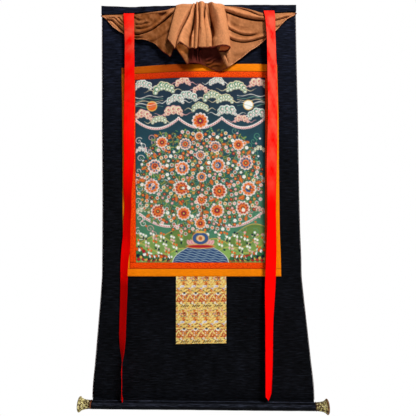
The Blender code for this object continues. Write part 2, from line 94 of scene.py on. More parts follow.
HEAD_HEIGHT = 30.0
SIDE_DROPS = (0, 190, 400, 540, 680, 785, 890, 940, 992, 1100, 1236, 1340, ROLLER_DROP)
LEFT_SIDE = (
    -340.4, -339.8, -338.8, -337.6, -336.4, -336.4, -336.8, -337.3, -340.4, -348.7, -359.8, -368.8, -369.6,
)
RIGHT_SIDE = (340.6, 343.8, 348.4, 349.9, 352.1, 354.5, 358.5, 359.4, 364.5, 376.5, 391.1, 401.8, 402.8)
RIPPLE = 1.6
PIPING = 2.0

BAND_STOPS = (-339.5, -264, -240, -200, -100, 221, 280, 340.5)
BAND_TOP = (-1.1, 2.0, 3.5, 1.5, -1.4, -4.4, -4.1, -4.3)
BAND_FOOT = (30.0, 27.2, 25.6, 23.0, 22.3, 25.0, 22.0, 19.5)
BAND_FRONT = 10.0
BAND_CORNER = 2.5

PICTURE_TOP_STOPS, PICTURE_TOP = (-222, -100, 233), (257.5, 250.8, 249.2)
PICTURE_BOTTOM = 895.5
PICTURE_LEFT = (-222.5, -218.0)
PICTURE_RIGHT = (232.5, 231.5)
INNER_BORDER = 22.0
OUTER_TOP_STOPS, OUTER_TOP = (-271, -219, -100, 127, 232, 288), (214, 210.5, 202.5, 200.8, 200.8, 203.5)
OUTER_BOTTOM = 944.0
OUTER_DROPS = (205, 400, 540, 680, 785, 890, 944)
OUTER_LEFT = (-270.5, -267.8, -266.5, -265.5, -264.8, -264.0, -263.5)
OUTER_RIGHT = (275, 279.7, 280.4, 281.8, 283.4, 287.0, 288.0)

DOOR_LEFT, DOOR_RIGHT = -79.0, 96.5
DOOR_BOTTOM = 1180.0
DOOR_WIDTH, DOOR_HEIGHT = DOOR_RIGHT - DOOR_LEFT, DOOR_BOTTOM - OUTER_BOTTOM
DOOR_FOOT = (DOOR_BOTTOM - 1, DOOR_BOTTOM - 4.5)

RIBBON_WIDTH = 37.5
RIBBON_POINT = 19.0
RIBBON_THICK = 0.8
# Painted highlight: a paler coral stands in for the satin's sheen on both ribbons below the veil, the right
# one much further down
SHEEN_DROPS = (35, 60, 90, 150, 190, 440, 620, 690)
LEFT_SHEEN = (0.2, 0.25, 0.75, 0.7, 0.15, 0.05, 0, 0)
RIGHT_SHEEN = (0.3, 0.9, 1.0, 1.0, 0.95, 0.6, 0.35, 0)
# Columns: drop, x of the middle, out, turn of the face in degrees, towards the viewer's left
LEFT_RIBBON = (
    (28, -243, 13.2, 0), (42, -242, 20.5, 6), (70, -240, 25.5, 12), (140, -238.5, 27, 19),
    (230, -238.5, 27, 14), (370, -239.6, 27, 5), (440, -240.5, 27, 4), (540, -240, 27, 10),
    (600, -243, 27, 19), (640, -244.6, 27, 30), (700, -243.4, 27, 40), (760, -246.6, 28, 37),
    (810, -247.8, 28.5, 34), (845, -250.3, 28.5, 28), (890, -254.7, 29, 34), (1000, -256.8, 31, 40),
    (1090, -259.6, 33, 42), (1160, -261, 35, 46), (1200, -261.4, 36.5, 60), (1228, -261.9, 37.5, 75),
    (1300, -262.4, 38.5, 79), (1335, -262.2, 39, 78), (1354, -261.4, 39, 68), (1371, -260.8, 39, 52),
)
RIGHT_RIBBON = (
    (18.5, 245, 13.2, 0), (44, 247.5, 21.5, -12), (90, 249.5, 27.5, -26), (180, 252.5, 28, -26),
    (270, 254.5, 27, -18), (350, 256, 26.5, -21), (430, 255.1, 26.5, -18), (540, 252.9, 26.5, -13),
    (680, 252, 26.5, -29), (785, 252.2, 26.5, -24), (850, 251.2, 27, -13), (940, 248.2, 28, -4),
    (1090, 244.3, 30, -34), (1160, 243.5, 31.5, -38), (1260, 242.6, 33.5, -42), (1367, 240.3, 35.5, -51),
)

# Veil, spread as a swag from corner to corner.
# Columns: x, drop and out of the upper edge, out half-way down, x, drop and out of the hem
SWAG = (
    (-342, 31.5, 6, 6.5, -341, 36, 6.5), (-321, 31, 6.5, 8, -325, 44, 8), (-296, 30.5, 7, 11, -301, 72, 9),
    (-264, 30, 7.5, 14, -267, 95, 10), (-222, 29, 8.5, 15.5, -220, 117, 12),
    (-194, 27.5, 11.5, 17, -183, 122, 14), (-166, 24, 13.5, 18, -151, 136, 16),
    (-138, 21, 14.5, 20, -127, 162, 20), (-110, 17, 15.5, 22, -107, 176, 24), (-92, 11, 16, 24, -96, 183, 27),
    (-79, 9, 16, 24, -85, 157, 28), (-58, 6, 16, 25, -61, 179, 27), (-41, 5, 16, 23, -39, 209, 22),
    (-33, 5, 16, 15, -35, 206, 22), (-16, 2, 16, 14, -20, 205, 24), (26, -1, 16, 12.5, 18, 209, 13),
    (53, 1, 16, 12.5, 48, 223, 10), (80, 3, 16, 14, 81, 228, 10.5), (90, 4, 16, 22, 97, 221, 17),
    (105, 4.5, 15.5, 22, 118, 206, 15.5), (144, 7.5, 15, 21, 154, 180, 15), (168, 12, 14.5, 20, 178, 161, 17),
    (195, 19, 13.5, 19, 203, 145, 16), (221, 25, 11, 17, 227, 125, 15), (267, 25.5, 7.5, 14, 273, 84, 12),
    (288, 24.5, 7, 11.5, 291, 63, 10), (312, 23, 6.5, 9, 311, 45, 8), (342, 22.5, 6, 6.5, 343, 27, 6.5),
)
# Creases of the swag, each a soft ridge that leans over a trough.
# Columns: its line as (x, drop) points, half-width, height, lean, which is downwards or below 0 upwards,
# and depth of the trough
SWAG_CREASES = (
    # left wing: the long fold, the hollow above it, and what runs into both
    (((-83, 8), (-102, 26), (-134, 55), (-168, 79), (-207, 91), (-256, 88)), 6, 7, 4.5, 12),
    (((-90, 24), (-110, 45), (-142, 77), (-172, 95), (-207, 107), (-256, 104)), 3, 3, -1, 0),
    (((-84, 3), (-106, 14), (-134, 20), (-169, 23), (-203, 29)), 4, 4.5, 2, 3.5),
    (((-112, 22), (-128, 30), (-146, 34)), 8, -5, 0, 0),
    (((-85, 50), (-110, 84), (-140, 106), (-175, 120), (-215, 118), (-250, 108)), 6, 2.5, 1.5, 2),
    (((-92, 60), (-104, 96), (-108, 130), (-106, 160)), 9, -4, 0, 0),
    (((-190, 112), (-222, 112), (-250, 104)), 4, -4, 0, 0),
    (((-230, 22), (-222, 34), (-206, 44), (-188, 45)), 5, 4, 1, 2.5),
    (((-216, 22), (-209, 32), (-198, 38)), 3.5, 3.5, 1, 1.5),
    (((-226, 58), (-204, 60), (-184, 55), (-160, 57)), 5, 2.6, 1, 3.5),
    (((-225, 72), (-200, 74), (-176, 68), (-150, 48)), 5, 2.2, 1, 3.5),
    (((-176, 34), (-160, 48), (-140, 46)), 6, 2, 0, 0),
    (((-332, 37), (-300, 42), (-283, 57), (-264, 76), (-240, 91)), 6, 3, 1, 7),
    (((-322, 33), (-290, 38), (-274, 54), (-250, 74)), 4, 6, 2, 3.5),
    (((-300, 32), (-272, 40), (-262, 54), (-244, 62)), 3.5, 3.5, 1.5, 3.5),
    # right wing
    (((78, -8), (98, -4), (133, 1), (178, 14), (212, 27), (256, 31)), 4, 4.5, 2.5, 8),
    (((84, 4), (106, 13), (144, 27), (185, 36.5), (227, 40.5), (258, 39)), 8, 9, 5, 10),
    (((90, 60), (120, 66), (160, 70), (205, 68), (245, 58)), 18, -3.5, 0, 0),
    (((80, 48), (106, 75), (130, 89), (155, 97), (185, 98), (215, 88)), 5, 6, 3, 7),
    (((84, 92), (111, 111), (137, 120), (168, 121), (199, 114), (231, 102), (262, 84)), 5, 7, 3.5, 6),
    (((112, 160), (142, 162), (172, 152), (210, 130)), 9, 2, 1, 1),
    (((100, 45), (125, 62), (150, 72), (190, 74)), 4, 1, 0.5, 0.8),
    (((140, 60), (170, 64), (205, 78)), 5, 1.2, 0.5, 0),
    # right corner
    (((256, 48), (272, 44), (300, 35), (325, 28)), 4, 4, 1.5, 6),
    (((260, 67), (277, 66), (294, 55)), 5, 2.5, 1.5, 2),
    # what shows under the bunch
    (((-60, 150), (-52, 172), (-40, 200)), 8, 3, 0, 0), (((-20, 140), (-19, 158), (-23, 200)), 3, 8, 1, 3),
    (((-6, 140), (-3, 158), (-4, 202)), 3, 9, 1, 3), (((7, 150), (5, 172), (8, 206)), 3, 6, 1, 2),
    (((20, 192), (38, 183), (58, 174)), 4, 5, 2, 2),
    (((22, 202), (40, 199), (52, 186), (66, 184)), 3.5, 6, 2, 3),
    (((30, 217), (46, 207), (64, 203), (82, 207)), 4, 4, 1.5, 2),
    (((82, 168), (92, 192), (100, 212)), 5, 4, -2, 5),
)
# Crest of the bunch, where the veil turns over and forward
CREST_STOPS = (-79, -60, -29, -16, -5, 21, 46, 53, 81, 90)
CREST_DROPS = (5, 1, 2, -1, -6, -5, -5, 1, 3, 7)
CREST_RISE = 5.0
# The line of the bunch past which its loop is open, and the widths of the hem where it is stitched or rolled
LOOP_LINE = 14.1
STITCHED_WIDTH, ROLLED_WIDTH = 3.6, 4.4
# Lines down the bunch, from its left edge to its right one: crease and ridge in turn.
# Columns: x at five heights from the crest to the hem, out at the same five, drop of the hem, and how
# gradually the cloth rises or falls from this line to the next
BUNCH_HEIGHTS = (0, 0.25, 0.5, 0.75, 1)
BUNCH_LINES = (
    ((-79, -86, -93, -100, -107.5), (24, 29, 32, 33, 33), 126, 0.6),
    ((-31, -47, -65, -79, -84), (31, 40, 45, 47, 47), 157, 0.5),
    ((-20, -36, -54, -71, -80), (20, 11, 15, 29, 38), 162, 0.6),
    ((-17, -28, -42, -58, -64), (31, 39, 45, 48, 51), 145, 1.2),
    ((-11, -13, -18, -27, -29), (17, 14, 18, 28, 37), 162, 0.8),
    ((-10, -11, -15, -21, -21), (18, 18, 27, 42, 46), 161, 0.8),
    ((-9, -10, -12, -15, -16), (19, 20, 28, 37, 40), 163, 0.7),
    ((-6, -5, -4, -5, -9), (33, 41, 46, 49, 51), 167, 0.7),
    ((-1, 2, 2, -1, -3), (21, 27, 33, 36, 38), 159, 0.6),
    ((13, 11, 11, 13, 13), (36, 43, 47, 50, 49), 162, 0.8),
    ((23, 20, 22, 26, 26), (16, 24, 39, 47, 46), 161, 0.8),
    ((26, 27, 31, 36, 36), (19, 27, 41, 49, 48), 161, 0.7),
    ((30, 35, 41, 46, 46), (14, 12, 21, 37, 43), 160, 1.35),
    ((54, 70, 79, 84, 84), (36, 47, 52, 54, 53), 157, 0.8),
    ((88, 96, 102, 107, 110), (25, 30, 33, 35, 35), 157, 0.8),
    ((89, 92, 96, 99, 101), (18, 18, 19, 21, 23), 164, 0.8),
    ((90, 88, 84, 78, 70), (17, 17, 18, 22, 26), 167, 0.8),
)
# Smaller folds of the bunch. Columns as for the creases of the swag
BUNCH_CREASES = (
    (((-25, 26), (-40, 58), (-58, 92), (-74, 134)), 5, -7, 0, 0),
    (((-11, 8), (-14, 40), (-19, 75), (-26, 112)), 4, -8, 0, 0),
    (((29, 6), (34, 34), (39, 62), (48, 104)), 5, -8, 0, 0), (((23, 6), (20, 30), (19, 62)), 3, -5, 0, 0),
    (((-1, 8), (2, 40), (2, 75), (-2, 120)), 2.5, -4, 0, 0),
    (((60, 10), (56, 50), (52, 90), (62, 140)), 9, -3, 0, 0),
    (((-62, 20), (-74, 80), (-92, 130)), 10, -1.2, 0, 0), (((8, 88), (6, 104), (5, 122)), 3, -2.2, 0, 0),
    (((-38, 90), (-44, 118), (-52, 140)), 6, -2, 0, 0), (((-78, 8), (-55, 14), (-30, 12)), 5, -1.2, 0, 0),
    (((60, 14), (76, 24), (84, 40)), 6, 1.6, 0, 0), (((48, 120), (64, 134), (84, 140)), 9, 1.4, 0, 0),
    (((-24, 118), (-26, 136), (-28, 156)), 4, -2, 0, 0),
)

# Knob: along from the end of the cloth, and radius
SOCKET_DEPTH, SOCKET_RADIUS = 10.0, ROLLER_RADIUS + 0.5
KNOB_GAP = 1.5
KNOB_PROFILE = (
    (0, 13.6), (1.5, 14.8), (3.5, 15), (5.5, 14), (13, 14.2), (21, 15), (28, 16.6), (33.5, 19), (37.5, 21.9),
    (40.5, 24.8), (42.5, 25.2), (44, 24.3), (45, 20.5), (46.5, 13), (47.5, 6),
)

# The stage, in metres. The camera is level and looks straight at the wall, where a pixel of the photo is
# PIXEL_SIZE wide
PHOTO_PIXELS, PIXEL_SIZE, SENSOR_WIDTH = 416, 0.003514, 36
CAMERA_PLACE = (0.0327, -1.45, -0.7056)
LIT_POINT = (0.0, 0.0, -0.7)
FLOOR_HALF, FLOOR_BACK, FLOOR_BELOW = 2.2, 0.9, 0.5

# ---------------------------------------------------------------- curves and meshes


def soft(at, stops, values):
    """A smooth curve through a table: cubic pieces whose slopes are the table's own.
    values may have further axes, and each is read on its own."""
    stops = np.asarray(stops, float)
    values = np.asarray(values, float)
    at = np.clip(at, stops[0], stops[-1])
    slopes = np.gradient(values, stops, axis=0)
    piece = np.clip(np.searchsorted(stops, at, side="right") - 1, 0, len(stops) - 2)
    span = stops[piece + 1] - stops[piece]
    t = (at - stops[piece]) / span
    further = (1,) * (values.ndim - 1)
    t, span = t.reshape(t.shape + further), span.reshape(span.shape + further)
    return (
        values[piece] * (1 + 2 * t) * (1 - t) ** 2
        + values[piece + 1] * t * t * (3 - 2 * t)
        + span * t * (1 - t) * (slopes[piece] * (1 - t) - slopes[piece + 1] * t)
    )


def ease(t):
    """A smooth step from 0 to 1."""
    t = np.clip(t, 0, 1)
    return t * t * (3 - 2 * t)


def between(t, start, rise, end, fall):
    """1 from a rise after start to a fall before end, and 0 outside them."""
    return ease((t - start) / rise) * ease((end - t) / fall)


def hump(t):
    """A soft bump that is 1 high at 0: exp(-t^2)."""
    return np.exp(-(t**2))


def ripple(x, y, pitch, seed):
    """Gentle unevenness between -1 and 1: the mean of four sine waves that cross at odd angles."""
    turns = seed + np.array([0.3, 1.45, 2.5, 3.7])
    pitches = pitch * np.array([1.0, 0.73, 1.31, 0.57])
    waves = [np.sin(2 * np.pi * (x * np.cos(a) + y * np.sin(a)) / p + 5 * a) for a, p in zip(turns, pitches)]
    return sum(waves) / len(waves)


def stacked(*parts):
    """Points, or places on a cloth, from their parts."""
    return np.stack(np.broadcast_arrays(*parts), -1)


def grid_faces(rows, columns, closed=False):
    """The cells of a grid whose points are numbered row by row. Rows go down and columns go right,
    seen from the side that the faces turn to. A closed grid joins its last column to its first."""
    here = np.arange(columns if closed else columns - 1)
    beside = (here + 1) % columns
    row = np.arange(rows - 1)[:, None] * columns
    below = row + columns
    return np.stack([row + here, below + here, below + beside, row + beside], -1).reshape(-1, 4)


def make_piece(name, node, slot, finish, points, uv=None, faces=None, closed=False, thickness=0, **marks):
    """A mesh piece that stands for a node, from points given as x, drop and out in millimetres. They are a
    grid, or have faces of their own. A closed grid is a tube with a many-sided cap over its first ring and
    its last. uv is a point's place on the cloth in millimetres, and thickness lies half to each side. Each
    mark is a number or a colour for every point, stored as an attribute."""
    rows, columns = points.shape[:2]
    ring = np.arange(columns)
    caps = [ring, rows * columns - 1 - ring] if closed else []
    faces = grid_faces(rows, columns, closed) if faces is None else faces
    points = points.reshape(-1, 3)
    corners = np.concatenate([faces.ravel(), *caps]).astype(np.int32)
    counts = [4] * len(faces) + [len(cap) for cap in caps]
    starts = np.concatenate([[0], np.cumsum(counts)[:-1]]).astype(np.int32)
    mesh = bpy.data.meshes.new(name)
    mesh.vertices.add(len(points))
    placed = points[:, [0, 2, 1]] * (MM, -MM, -MM)
    mesh.vertices.foreach_set("co", placed.astype(np.float32).ravel())
    mesh.loops.add(len(corners))
    mesh.loops.foreach_set("vertex_index", corners)
    mesh.polygons.add(len(counts))
    mesh.polygons.foreach_set("loop_start", starts)
    mesh.update(calc_edges=True)
    if uv is not None:
        spread = uv.reshape(-1, 2)[corners] * MM
        mesh.uv_layers.new(name="Cloth").uv.foreach_set("vector", spread.astype(np.float32).ravel())
    for mark, values in marks.items():
        values = np.asarray(values, np.float32)
        if values.shape[-1] == 3:
            rgba = np.ones((len(points), 4), np.float32)
            rgba[:, :3] = values.reshape(-1, 3)
            mesh.color_attributes.new(mark, "FLOAT_COLOR", "POINT").data.foreach_set("color", rgba.ravel())
        else:
            mesh.attributes.new(mark, "FLOAT", "POINT").data.foreach_set("value", values.ravel())
    mesh.shade_smooth()
    mesh.materials.append(finish)
    piece = bpy.data.objects.new(name, mesh)
    bpy.context.scene.collection.objects.link(piece)
    if thickness:
        solidify = piece.modifiers.new("Thickness", "SOLIDIFY")
        solidify.thickness = thickness * MM
        solidify.offset = 0.0
        solidify.use_even_offset = False
    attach(piece, BODY)
    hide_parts(node)
    return piece


def line_folds(x, drop, creases):
    """How far creases move the points of a cloth: out from the wall, and across and down in its own plane.
    With s as the signed distance to a crease's line in half-widths, positive on the side to which it leans,
    the ridge is exp(-s^2) high, leans by as much, and the trough beside it is exp(-((s - 1.5) / 0.6)^2)
    deep. All three fade out over the first sixth and the last third of the line."""
    flat = np.stack([x.ravel(), drop.ravel()], 1)
    move = np.zeros((len(flat), 3))
    for line, half_width, height, lean, trough in creases:
        knots = np.array(line, float)
        run = np.concatenate([[0], np.cumsum(np.hypot(*np.diff(knots, axis=0).T))])
        path = soft(np.linspace(0, run[-1], 8 * len(knots)), run, knots)
        start, step = path[:-1], np.diff(path, axis=0)
        near = np.abs(flat - knots.mean(0)).max(1) < np.ptp(knots, axis=0).max() + 5 * half_width
        if not near.any():
            continue
        to_point = flat[near][:, None, :] - start
        share = np.clip((to_point * step).sum(-1) / (step**2).sum(-1), 0, 1)
        off = to_point - share[..., None] * step
        distance = np.hypot(off[..., 0], off[..., 1])
        nearest = distance.argmin(1)
        row = np.arange(len(nearest))
        (run_x, run_y), (gap_x, gap_y) = step[nearest].T, to_point[row, nearest].T
        down = np.where(knots[-1, 0] >= knots[0, 0], 1, -1)
        s = np.sign(run_x * gap_y - run_y * gap_x) * down * distance[row, nearest] / half_width
        s = s * (-1 if lean < 0 else 1)
        along = (nearest + share[row, nearest]) / len(step)
        fade = ease(6 * along) * ease(3 * (1 - along))
        ridge = fade * hump(s)
        normal = np.stack([-run_y, run_x], 1) * down
        normal /= np.hypot(*normal.T)[:, None]
        move[near, 0] += height * ridge - trough * fade * hump((s - 1.5) / 0.6)
        move[near, 1:] += lean * ridge[:, None] * normal
    return move.T.reshape(3, *x.shape)


# ---------------------------------------------------------------- where the cloth hangs


def roller_drop(x):
    """The drop of the roller's axis at x."""
    return ROLLER_DROP + ROLLER_TILT * (x - ROLLER_MIDDLE)


def ground_out(x, drop):
    """The middle surface of the hanging cloth: from the wall at its head to the back of the roller,
    with a slow ripple, sin(x / 95) times sin(drop / 150), that dies out at both ends."""
    fall = np.clip((drop - HEAD_HEIGHT) / (ROLLER_DROP - HEAD_HEIGHT), 0, 1)
    back, foot = GROUND_THICK / 2, ROLLER_OUT - SLEEVE_RADIUS
    wave = np.sin(x / 95 + 0.6) * np.sin(drop / 150 + 0.4)
    return back + (foot - back) * fall + RIPPLE * wave * ease(4 * fall) * ease(8 * (1 - fall))


def ground_side(drop, sides):
    """Where a side of the ground cloth is at a drop, by its table."""
    return soft(drop, SIDE_DROPS, sides)


def curve(stops, values):
    """An edge that follows a table."""
    return lambda at: soft(at, stops, values)


def level(value):
    """An edge that runs straight across or straight down."""
    return lambda at: value + 0 * at


def moved(edge, by):
    """An edge beside another one."""
    return lambda at: edge(at) + by


def panel_edges():
    """The edges of the picture and its two borders, from the inside out. Each ring has functions for its
    left and right edge, which give x at a drop, and for its top and foot, which give the drop at an x."""
    ends = (PICTURE_TOP[0], PICTURE_BOTTOM)
    picture = (
        curve(ends, PICTURE_LEFT),
        curve(ends, PICTURE_RIGHT),
        curve(PICTURE_TOP_STOPS, PICTURE_TOP),
        level(PICTURE_BOTTOM),
    )
    inner = tuple(moved(edge, by * INNER_BORDER) for edge, by in zip(picture, (-1, 1, -1, 1)))
    outer = (
        curve(OUTER_DROPS, OUTER_LEFT),
        curve(OUTER_DROPS, OUTER_RIGHT),
        curve(OUTER_TOP_STOPS, OUTER_TOP),
        level(OUTER_BOTTOM),
    )
    return picture, inner, outer


def panel_grid(left, right, top, bottom, cell):
    """The x and drop of a panel between four edges, in cells of about that size. The corners are found by
    going back and forth between the edges across and the edges down."""
    columns = max(int((right(500.0) - left(500.0)) / cell), 4)
    rows = max(int((bottom(0.0) - top(0.0)) / cell), 4)
    across = np.linspace(0, 1, columns + 1)[None, :]
    down = np.linspace(0, 1, rows + 1)[:, None]
    drop = OUTER_TOP[0] + (OUTER_BOTTOM - OUTER_TOP[0]) * down + 0 * across
    for _ in range(4):
        x = left(drop) + (right(drop) - left(drop)) * across
        drop = top(x) + (bottom(x) - top(x)) * down
    return x, drop


def sewn_panel(name, node, slot, finish, edges, cell, pucker, paint=None, place=""):
    """A sewn-down panel: the cloth lies on the ground cloth, its edges roll down to the ground, and a row of
    shallow puckers, one for each few stitches, runs along every edge. paint works out what is painted on
    it. A border's strip has a place, along which its weave runs, and marks for its edge and a painted shadow."""
    x, drop = panel_grid(*edges, cell)
    from_side = np.minimum(x - x[:, :1], x[:, -1:] - x)
    from_end = np.minimum(drop - drop[:1], drop[-1:] - drop)
    from_edge = np.minimum(from_side, from_end)
    seam = np.where(from_side < from_end, drop, x)
    stitches = 1 + 0.7 * np.sin(seam / 1.7 + 0.8 * np.sin(seam / 11))
    puckers = pucker * hump((from_edge - 2.5) / 2.0) * stitches
    out = ground_out(x, drop) + (GROUND_THICK / 2 + PANEL_THICK + SEAM_PLAY) - puckers
    points = stacked(x, drop, np.where(from_edge > 0, out, out - PANEL_THICK))
    uv = points[..., 1::-1] if place in ("left", "right") else points[..., :2]
    if paint:
        marks = {"painting": paint(*x.shape)}
    else:
        # Painted shadow: the top strips are darkened where the bunch of the veil shades them
        painted_shade = (place == "top") * ease((8 - x) / 60) * (0.75 + 0.25 * ease((x + 200) / 130))
        marks = {"edge": from_edge / 2.2, "painted_shade": painted_shade}
    piece = make_piece(name, node, slot, finish, points, uv, **marks)


# ---------------------------------------------------------------- veil


def hollows(out, reach):
    """How far each point of a grid lies behind the mean of the points up to reach cells away, in mm."""
    mean = np.pad(out, reach + 1, mode="edge")
    for axis in (0, 1):
        total = np.cumsum(mean, axis)
        width = 2 * reach + 1
        later = np.take(total, np.arange(width, total.shape[axis]), axis)
        mean = (later - np.take(total, np.arange(total.shape[axis] - width), axis)) / width
    return mean[: out.shape[0], : out.shape[1]] - out


def hem_rows(rows):
    """Shares from 0 to 1 that crowd together at the hem: 1 - (1 - even)^1.25."""
    return 1 - (1 - np.linspace(0, 1, rows + 1)) ** 1.25


def hem_bead(distance):
    """The bead of the rolled hem: a hump 0.9 mm high, 1.6 mm from the edge."""
    return 0.9 * hump((distance - 1.6) / 1.3)


def swag_surface(x_top, share):
    """The swag at the column that starts at x_top on its upper edge, a share of the way to its hem. A column
    is a straight line down the cloth, and its out is the parabola through the table's three values."""
    table = np.array(SWAG, float)
    read = (soft(x_top, table[:, 0], column) for column in table[:, 1:].T)
    drop_top, out_top, out_mid, x_low, drop_low, out_low = read
    length = np.hypot(x_low - x_top, drop_low - drop_top)
    x = x_top + (x_low - x_top) * share
    drop = drop_top + (drop_low - drop_top) * share
    out = out_top * (1 - share) * (1 - 2 * share) + out_mid * 4 * share * (1 - share)
    return x, drop, out + out_low * share * (2 * share - 1), length, out_top


def bunch_surface(line, fall):
    """The bunch in front at a line number, which may lie between two lines, and a share of its fall.
    From a crease to a ridge the surface rises as the sine of a quarter turn to the table's power, so a low
    power makes a sharp crease and a broad ridge."""
    columns = (np.array([row[number] for row in BUNCH_LINES]).T for number in (0, 1))
    x_lines, out_lines = (soft(fall, BUNCH_HEIGHTS, column) for column in columns)
    hems, powers = np.array([row[2:] for row in BUNCH_LINES], float).T
    numbers = np.arange(len(BUNCH_LINES))
    before = np.clip(np.floor(line).astype(int), 0, len(numbers) - 2)
    share = line - before
    power = powers[before]
    up, down = np.sin(np.pi / 2 * share) ** power, 1 - np.sin(np.pi / 2 * (1 - share)) ** power
    rise = np.where(before % 2 == 0, up, down)
    x = x_lines[:, before] * (1 - share) + x_lines[:, before + 1] * share
    out = out_lines[:, before] * (1 - rise) + out_lines[:, before + 1] * rise
    crest = soft(x[0], CREST_STOPS, CREST_DROPS) + CREST_RISE
    hem = soft(line, numbers, hems)
    return x, crest + (hem - crest) * fall[:, None], out


def veil_shape(fold_depth, wings=(112, 104), per_line=13, swag_rows=66, crest_rows=8, fall_rows=74):
    """One cloth: the swag, and in its middle a bunch that goes up over the crest and down in front.
    Returns its points, faces, and for each point its place on the cloth, its distance from the hem, how
    hollow the cloth is there, and whether it is on the swag."""
    line = np.linspace(0, len(BUNCH_LINES) - 1, per_line * (len(BUNCH_LINES) - 1) + 1)
    fall = hem_rows(fall_rows)
    bunch_x, bunch_drop, bunch_out = bunch_surface(line, fall)
    crest_x = bunch_x[0]
    left = np.linspace(SWAG[0][0], crest_x[0], wings[0], endpoint=False)
    right = np.linspace(SWAG[-1][0], crest_x[-1], wings[1], endpoint=False)[::-1]
    x_top = np.concatenate([left, crest_x, right])
    share = hem_rows(swag_rows)[::-1, None]
    x, drop, out, length, out_top = swag_surface(x_top[None, :], share)
    fold_out, fold_x, fold_drop = line_folds(x, drop, SWAG_CREASES)
    calm = ease(share * length / 9) * fold_depth
    hem_distance = (1 - share) * length
    lively = ease(hem_distance / 6)
    wrinkle = 0.5 * ripple(x, drop, 41, 0.4) + 0.3 * ripple(x, drop, 17, 1.9)
    crumpled = between(x, -232, 20, -100, 30) * ease((88 - drop) / 30)
    wrinkle = wrinkle + crumpled * (1.6 * ripple(x * 0.7, drop, 21, 2.2) + 0.6 * ripple(x, drop, 9, 0.8))
    frill = 1.3 * np.sin(x / 5.3 + 1.6 * np.sin(x / 19)) * np.exp(-hem_distance / 9)
    out = out_top + calm * (out - out_top + fold_out + wrinkle + frill)
    x, drop = x + calm * lively * fold_x, drop + calm * lively * fold_drop
    # Behind the bunch the swag lies back, so that it doesn't fill the bunch's creases
    behind = between(x, -70, 15, 104, 12) * ease((drop - 20) / 15)
    behind = behind * ease((140 + 32 * ease((x - 60) / 15) - drop) / 10)
    out = out - behind * np.maximum(out - 12, 0)
    # It passes behind the ribbons, and in front of the cloth and its borders
    for table in (LEFT_RIBBON, RIGHT_RIBBON):
        drops, middles, outs, turns = np.array(table, float).T
        aside = x - np.interp(drop, drops, middles)
        face = np.interp(drop, drops, outs) + aside * np.tan(np.radians(np.interp(drop, drops, turns)))
        out = np.minimum(out, face - 3 + 2 * np.maximum(np.abs(aside) - RIBBON_WIDTH / 2 - 1, 0))
    out = np.maximum(out, ground_out(x, drop) + 1.4 + 2.4 * ease((drop - 185) / 12))
    swag = stacked(x, drop, out + hem_bead(hem_distance))

    # The creases of the bunch move it out alone
    bunch_distance = (1 - fall)[:, None] * (bunch_drop[-1] - bunch_drop[0])
    settled = ease(fall / 0.08)[:, None] * fold_depth
    wrinkle = 0.45 * ripple(bunch_x * 2.2, bunch_drop, 47, 0.9)
    wrinkle = wrinkle + 0.2 * ripple(bunch_x * 1.5, bunch_drop, 15, 2.3)
    frill = 1.1 * np.sin(bunch_x / 3.1 + 1.2 * np.sin(bunch_x / 13)) * np.exp(-bunch_distance / 8)
    moves = line_folds(bunch_x, bunch_drop, BUNCH_CREASES)[0] + wrinkle + frill
    bunch = stacked(bunch_x, bunch_drop, bunch_out + settled * moves + hem_bead(bunch_distance))

    # The crest: half an ellipse from the swag's upper edge to the head of the bunch
    first, last = len(left), len(left) + len(crest_x)
    start, head = swag[-1, first:last], bunch[0]
    turn = np.linspace(0, np.pi, crest_rows + 1)[1:-1, None, None]
    crest = start + (head - start) * (1 - np.cos(turn)) / 2
    crest[..., 1] -= CREST_RISE * np.sin(turn[..., 0])
    over = np.concatenate([crest, bunch])

    rows, width = swag.shape[:2]
    column = np.arange(len(crest_x) - 1)
    above, below = (rows - 1) * width + first + column, rows * width + column
    join = np.stack([above, below, below + 1, above + 1], 1)
    over_faces = grid_faces(len(over), len(crest_x)) + rows * width
    faces = np.concatenate([grid_faces(rows, width), join, over_faces])
    swag_uv = stacked(x_top, hem_distance - hem_distance[-1:])
    over_run = np.concatenate([np.linspace(4, 18, crest_rows - 1), 20 + 155 * fall])[:, None]
    over_uv = stacked(crest_x * 1.6, over_run + 300)
    crest_distance = np.full((crest_rows - 1, len(crest_x)), 200.0)
    distance = np.concatenate([hem_distance.ravel(), crest_distance.ravel(), bunch_distance.ravel()])
    hollow = [hollows(grid[..., 2], 4) + hollows(grid[..., 2], 9) for grid in (swag, over)]
    # The loop at the right of the bunch is open and light falls into it, so the painted crease shade is left
    # off there
    hollow[1] = hollow[1] * (1 - ease((line - LOOP_LINE) / 0.3))
    points = np.concatenate([swag.reshape(-1, 3), over.reshape(-1, 3)])
    uv = np.concatenate([swag_uv.reshape(-1, 2), over_uv.reshape(-1, 2)])
    on_swag = np.arange(len(points)) < rows * width
    return points, faces, uv, distance, np.concatenate([grid.ravel() for grid in hollow]), on_swag


# ---------------------------------------------------------------- painted and woven patterns

GOLDEN_TURN = 2.39996


def srgb(*levels):
    """A colour as it is read off a screen, 0 to 255, turned into linear light."""
    level = np.array(levels, float) / 255
    return np.where(level <= 0.04045, level / 12.92, ((level + 0.055) / 1.055) ** 2.4)


def strewn(number):
    """Two shares of a width and a height, at which numbered marks lie evenly but in no order."""
    return number * 0.7549 % 1, number * 0.5698 % 1


def seed_head(count, x, y, pitch, ahead, turn):
    """Numbered places like the seeds of a sunflower: each is a golden turn on from the one before, and its
    distance grows as the root of its number. Gives each one's number, x, y and angle."""
    for number in range(count):
        angle, reach = GOLDEN_TURN * number + turn, pitch * math.sqrt(number + ahead)
        yield number, x + 1.02 * reach * math.cos(angle), y + 0.86 * reach * math.sin(angle), angle


